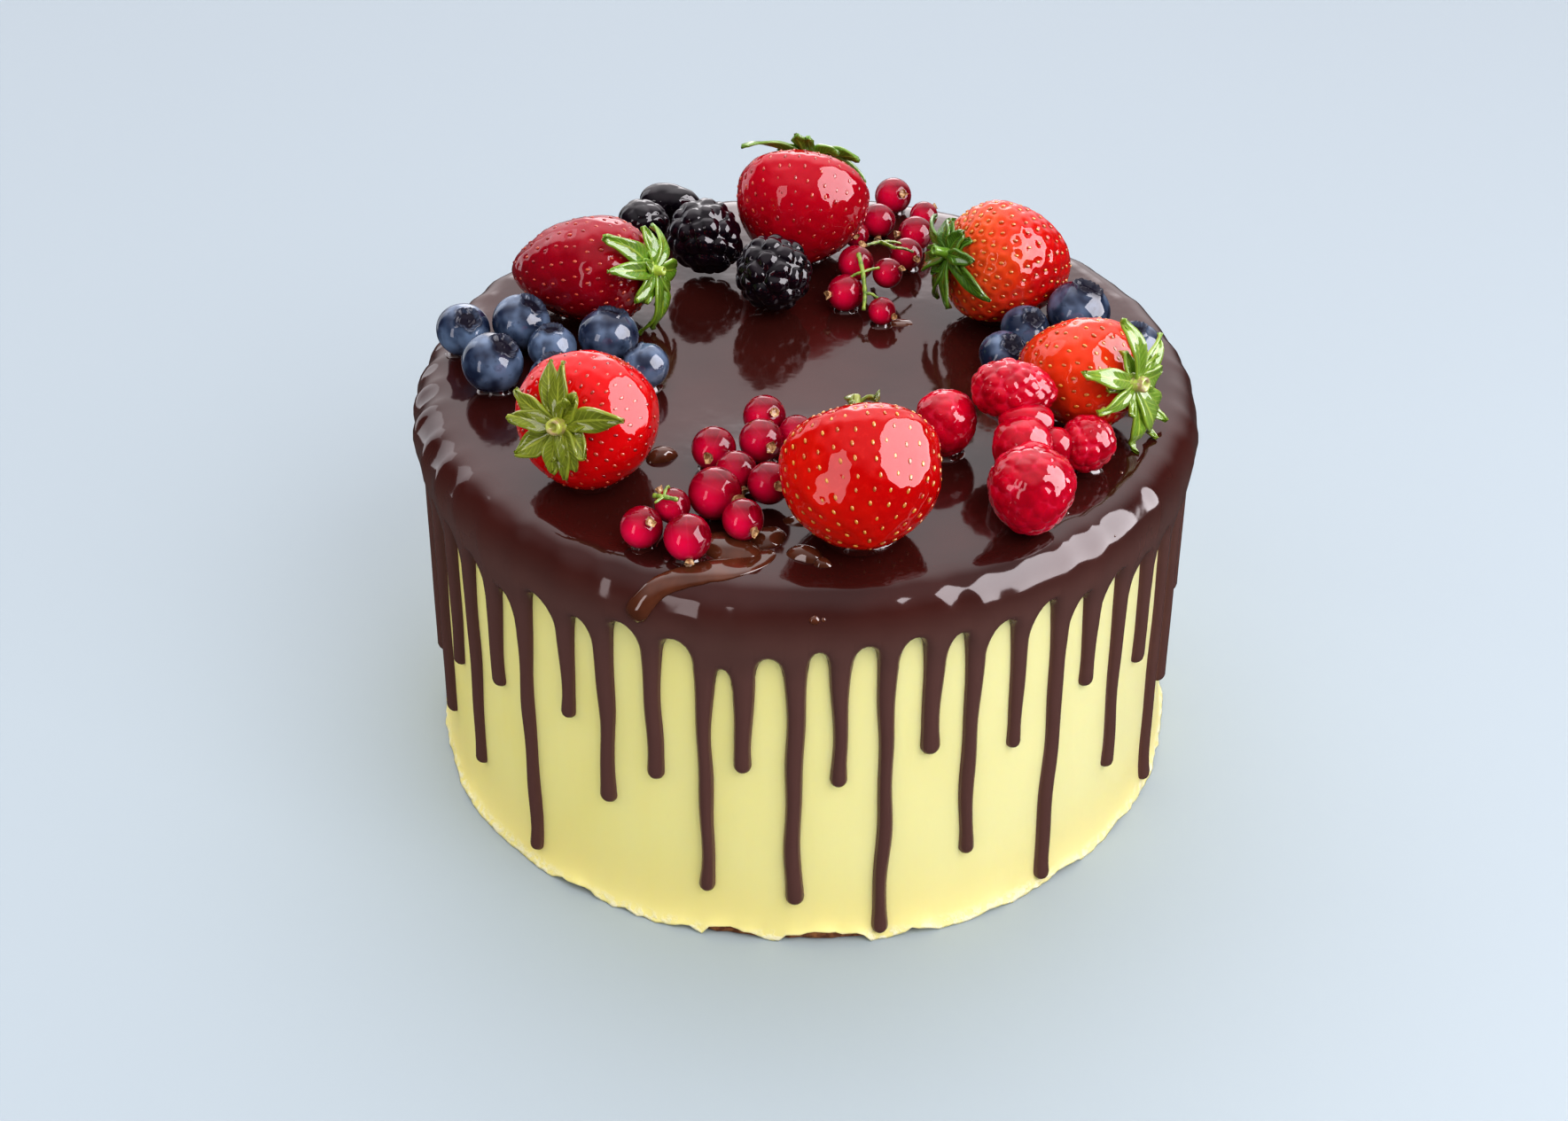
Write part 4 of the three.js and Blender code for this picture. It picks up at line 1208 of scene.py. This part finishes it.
def smooth_route(points, steps):
    """A smooth line through all the points, with a number of steps from each to the next."""
    points = [Vector(point) for point in points]
    route = []
    for a, b, c, d in zip(points[:1] + points, points, points[1:], points[2:] + points[-1:]):
        for t in (k / steps for k in range(steps)):
            bent = (2 * a - 5 * b + 4 * c - d) * t * t + (3 * b - a - 3 * c + d) * t ** 3
            route.append(0.5 * (2 * b + (c - a) * t + bent))
    return route + points[-1:]


def stalk_tube(bm, points, thick, thin):
    path = smooth_route([(x, y, GANACHE_TOP + height) for x, y, height in points], 5)
    last = len(path) - 1
    loops = []
    for n, point in enumerate(path):
        ahead = path[min(n + 1, last)] - path[max(n - 1, 0)]
        size = thick + (thin - thick) * n / last + 0.08 * sin(n * 2.3)
        turn = ahead.to_track_quat("Z", "Y").to_matrix().to_4x4()
        ring = bmesh.ops.create_circle(
            bm, segments=8, radius=size, cap_ends=n in (0, last), matrix=Matrix.Translation(point) @ turn
        )["verts"]
        around = {edge for vert in ring for edge in vert.link_edges}
        loops.append([edge for edge in around if all(vert in ring for vert in edge.verts)])
    for first, second in zip(loops, loops[1:]):
        bmesh.ops.bridge_loops(bm, edges=first + second)


stalk_green = patchy(
    "currant_stalk_green", (0.10, 0.20, 0.015), (0.30, 0.42, 0.05), 1.4, 2, (0.3, 0.7), (0.7, 2, 0.12),
    Roughness=0.45, Coat_Weight=0.8, Coat_Roughness=0.08,
)
for name, (main, *side_stalks) in STALKS.items():
    bm = bmesh.new()
    stalk_tube(bm, main, STALK_RADIUS, STALK_RADIUS * 0.75)
    for points in side_stalks:
        stalk_tube(bm, points, STALK_RADIUS * 0.7, STALK_RADIUS * 0.5)
    new_piece(name + "_green", bm, stalk_green, [name])

# Clear glaze has run down off the fruit and set in a thin hollow collar round every foot, where it
# looks as dark as the ganache under it and catches the light in a fine bright line.
COLLAR_STEPS, COLLAR_REACH, COLLAR_ROOT = 72, 30, 0.6
COLLAR_SHARES = (0, 0.08, 0.18, 0.30, 0.44, 0.60, 0.79, 1.0)  # rows of the hollow side, of its width


def collar(bm, tree, middle, creep):
    """A hollow-sided ring from the ganache up to where the glaze touches the fruit."""
    walls = []
    for i in range(COLLAR_STEPS):
        outwards = turned(1, 2 * pi * i / COLLAR_STEPS)
        rise = creep * (1 + 0.25 * noise(Vector((middle.x, middle.y, 0)) * 0.3 + outwards * 0.8))
        start = Vector((middle.x, middle.y, GANACHE_TOP + rise)) + outwards * COLLAR_REACH
        hit = tree.ray_cast(start, -outwards, COLLAR_REACH)[0]
        if hit is None:
            return
        walls.append(((hit.xy - middle.xy).length, rise, outwards.xy))
    rows = len(COLLAR_SHARES)

    def where(i, j):
        n = i % COLLAR_STEPS
        radius = sum(walls[(n + k) % COLLAR_STEPS][0] for k in range(-3, 4)) / 7
        _, rise, outwards = walls[n]
        j %= rows + 2
        if j < rows:
            share = COLLAR_SHARES[j]
            out, up = radius - 0.35 + (creep * 1.15 + 0.35) * share, rise * (1 - share) ** 2.3 - 0.06
        else:
            out, up = radius + (0.3 if j == rows else -COLLAR_ROOT), -COLLAR_ROOT
        foot = middle.xy + outwards * out
        return Vector((foot.x, foot.y, GANACHE_TOP + up - sunk_middle(foot) * (1 - max(up, 0) / rise)))

    grid_piece(bm, COLLAR_STEPS, rows + 2, where)


collars = bmesh.new()
for footing in footings:
    collar(collars, *footing)
dark_glaze = patchy(
    "glaze_over_ganache", (0.036, 0.009, 0.008), (0.06, 0.014, 0.011), 6, 2, (0.3, 0.7),
    Roughness=0.03, IOR=1.5, Coat_Weight=0.6, Coat_Roughness=0.02,
)
join_seams(collars, 1e-5)
new_piece("glaze_collars", collars, dark_glaze)

# The glaze also lies where it ran: a tongue of it, tinted by the ganache, slid from the pool under the
# front currants over the edge, and there are a few more thick drops and tiny burst bubbles.
TONGUE = [  # x, y, z, half width, thickness
    (-6, -72, 94, 2.0, 0.3), (-9.9, -74.6, 94, 3.4, 0.5), (-14.6, -77.3, 94, 3.8, 0.7),
    (-19.9, -79.0, 94, 3.3, 0.9), (-24.7, -80.2, 93.2, 2.7, 1.0), (-28.8, -81.2, 91.7, 2.4, 1.1),
    (-31.8, -82.3, 88.9, 2.4, 1.3), (-34.2, -82.3, 84.9, 2.6, 1.5),
]
TONGUE_AROUND = 16
DROPS = [  # x, y, length, width, thickness, bearing
    (-15.0, -71.0, 14, 9.5, 3.4, -30), (-7.6, -67.4, 9, 7, 2.6, 20), (0.4, -73.4, 8.5, 5.2, 3.0, -25),
    (3.6, -76.0, 4, 3.2, 1.8, -10), (-31.0, -38.0, 7.5, 5, 3.4, 25),
    (21.8, 20, 6.5, 3.6, 0.8, 0), (2.2, -88.3, 2.2, 2.0, 0.8, 0), (3.9, -88.1, 1.0, 1.0, 0.4, 0),
    (14, -60, 5, 3, 0.6, 60), (-1, -61, 7, 5, 0.8, 10), (52, -52, 7, 4, 0.7, 70), (-30, -60, 4, 2.4, 0.5, 0),
    (-84.3, -6.5, 2.6, 1.8, 0.7, 90), (-83.9, -16.6, 2.0, 1.6, 0.6, 90),
]
BUBBLES, BUBBLE_RING, BUBBLE_SIZES = 26, (72, 87), (0.5, 1.0)


def ganache_at(point):
    place, normal, _, _ = ganache_skin.find_nearest(point)
    return place, normal * copysign(1, normal.dot(Vector((point.x, point.y, 60))))


def glaze_drop(bm, x, y, length, width, thick, bearing):
    place, normal = ganache_at(Vector((x, y, GANACHE_TOP if hypot(x, y) < 80 else 89)))
    turn = Vector((0, 0, 1)).rotation_difference(normal).to_matrix().to_4x4()
    made = bmesh.ops.create_uvsphere(bm, u_segments=32, v_segments=16, radius=1)["verts"]
    for vert in made:
        uneven = 0.5 + 0.09 * noise(Vector((vert.co.x, vert.co.y, x)) * 1.2)
        vert.co = Vector((vert.co.x * length * uneven, vert.co.y * width * uneven, vert.co.z * thick))
    spin = Matrix.Rotation(radians(bearing), 4, "Z")
    bmesh.ops.transform(bm, verts=made, matrix=Matrix.Translation(place - normal * thick * 0.3) @ turn @ spin)


def glaze_tongue(bm):
    """A flat-bottomed run that follows the ganache down over the edge to a round end."""
    route = smooth_route(TONGUE, 6)
    last = len(route) - 1

    def where(i, j):
        *place, half, thick = route[j]
        place = Vector(place)
        ahead = (route[min(j + 1, last)] - route[max(j - 1, 0)]).xyz.normalized()
        side = ganache_at(place)[1].cross(ahead).normalized()
        end_share = min(j, (last - j) * 1.6, 5) / 5
        taper = dome(1 - end_share)
        out, up, _ = turned(1, 2 * pi * i / TONGUE_AROUND)
        foot, normal = ganache_at(place + side * out * half * taper)
        return foot + normal * (thick * taper * up if up > 0 else 0.5 * up)

    grid_piece(bm, TONGUE_AROUND, last, where)


runny = patchy(
    "runny_glaze", (0.075, 0.022, 0.010), (0.11, 0.034, 0.016), 5, 2, (0.3, 0.7),
    Roughness=0.07, IOR=1.5, Coat_Weight=0.5, Coat_Roughness=0.02,
)
runs, drops, rng = bmesh.new(), bmesh.new(), random.Random("drops")
glaze_tongue(runs)
join_seams(runs)
new_piece("glaze_tongue", runs, runny)
for drop in DROPS:
    glaze_drop(drops, *drop)
for n in range(BUBBLES):
    angle, out, size = rng.uniform(0, 2 * pi), rng.uniform(*BUBBLE_RING), rng.uniform(*BUBBLE_SIZES)
    glaze_drop(drops, *turned(out, angle).xy, size, size, 0.4 * size, 0)
new_piece("glaze_drops", drops, runny)
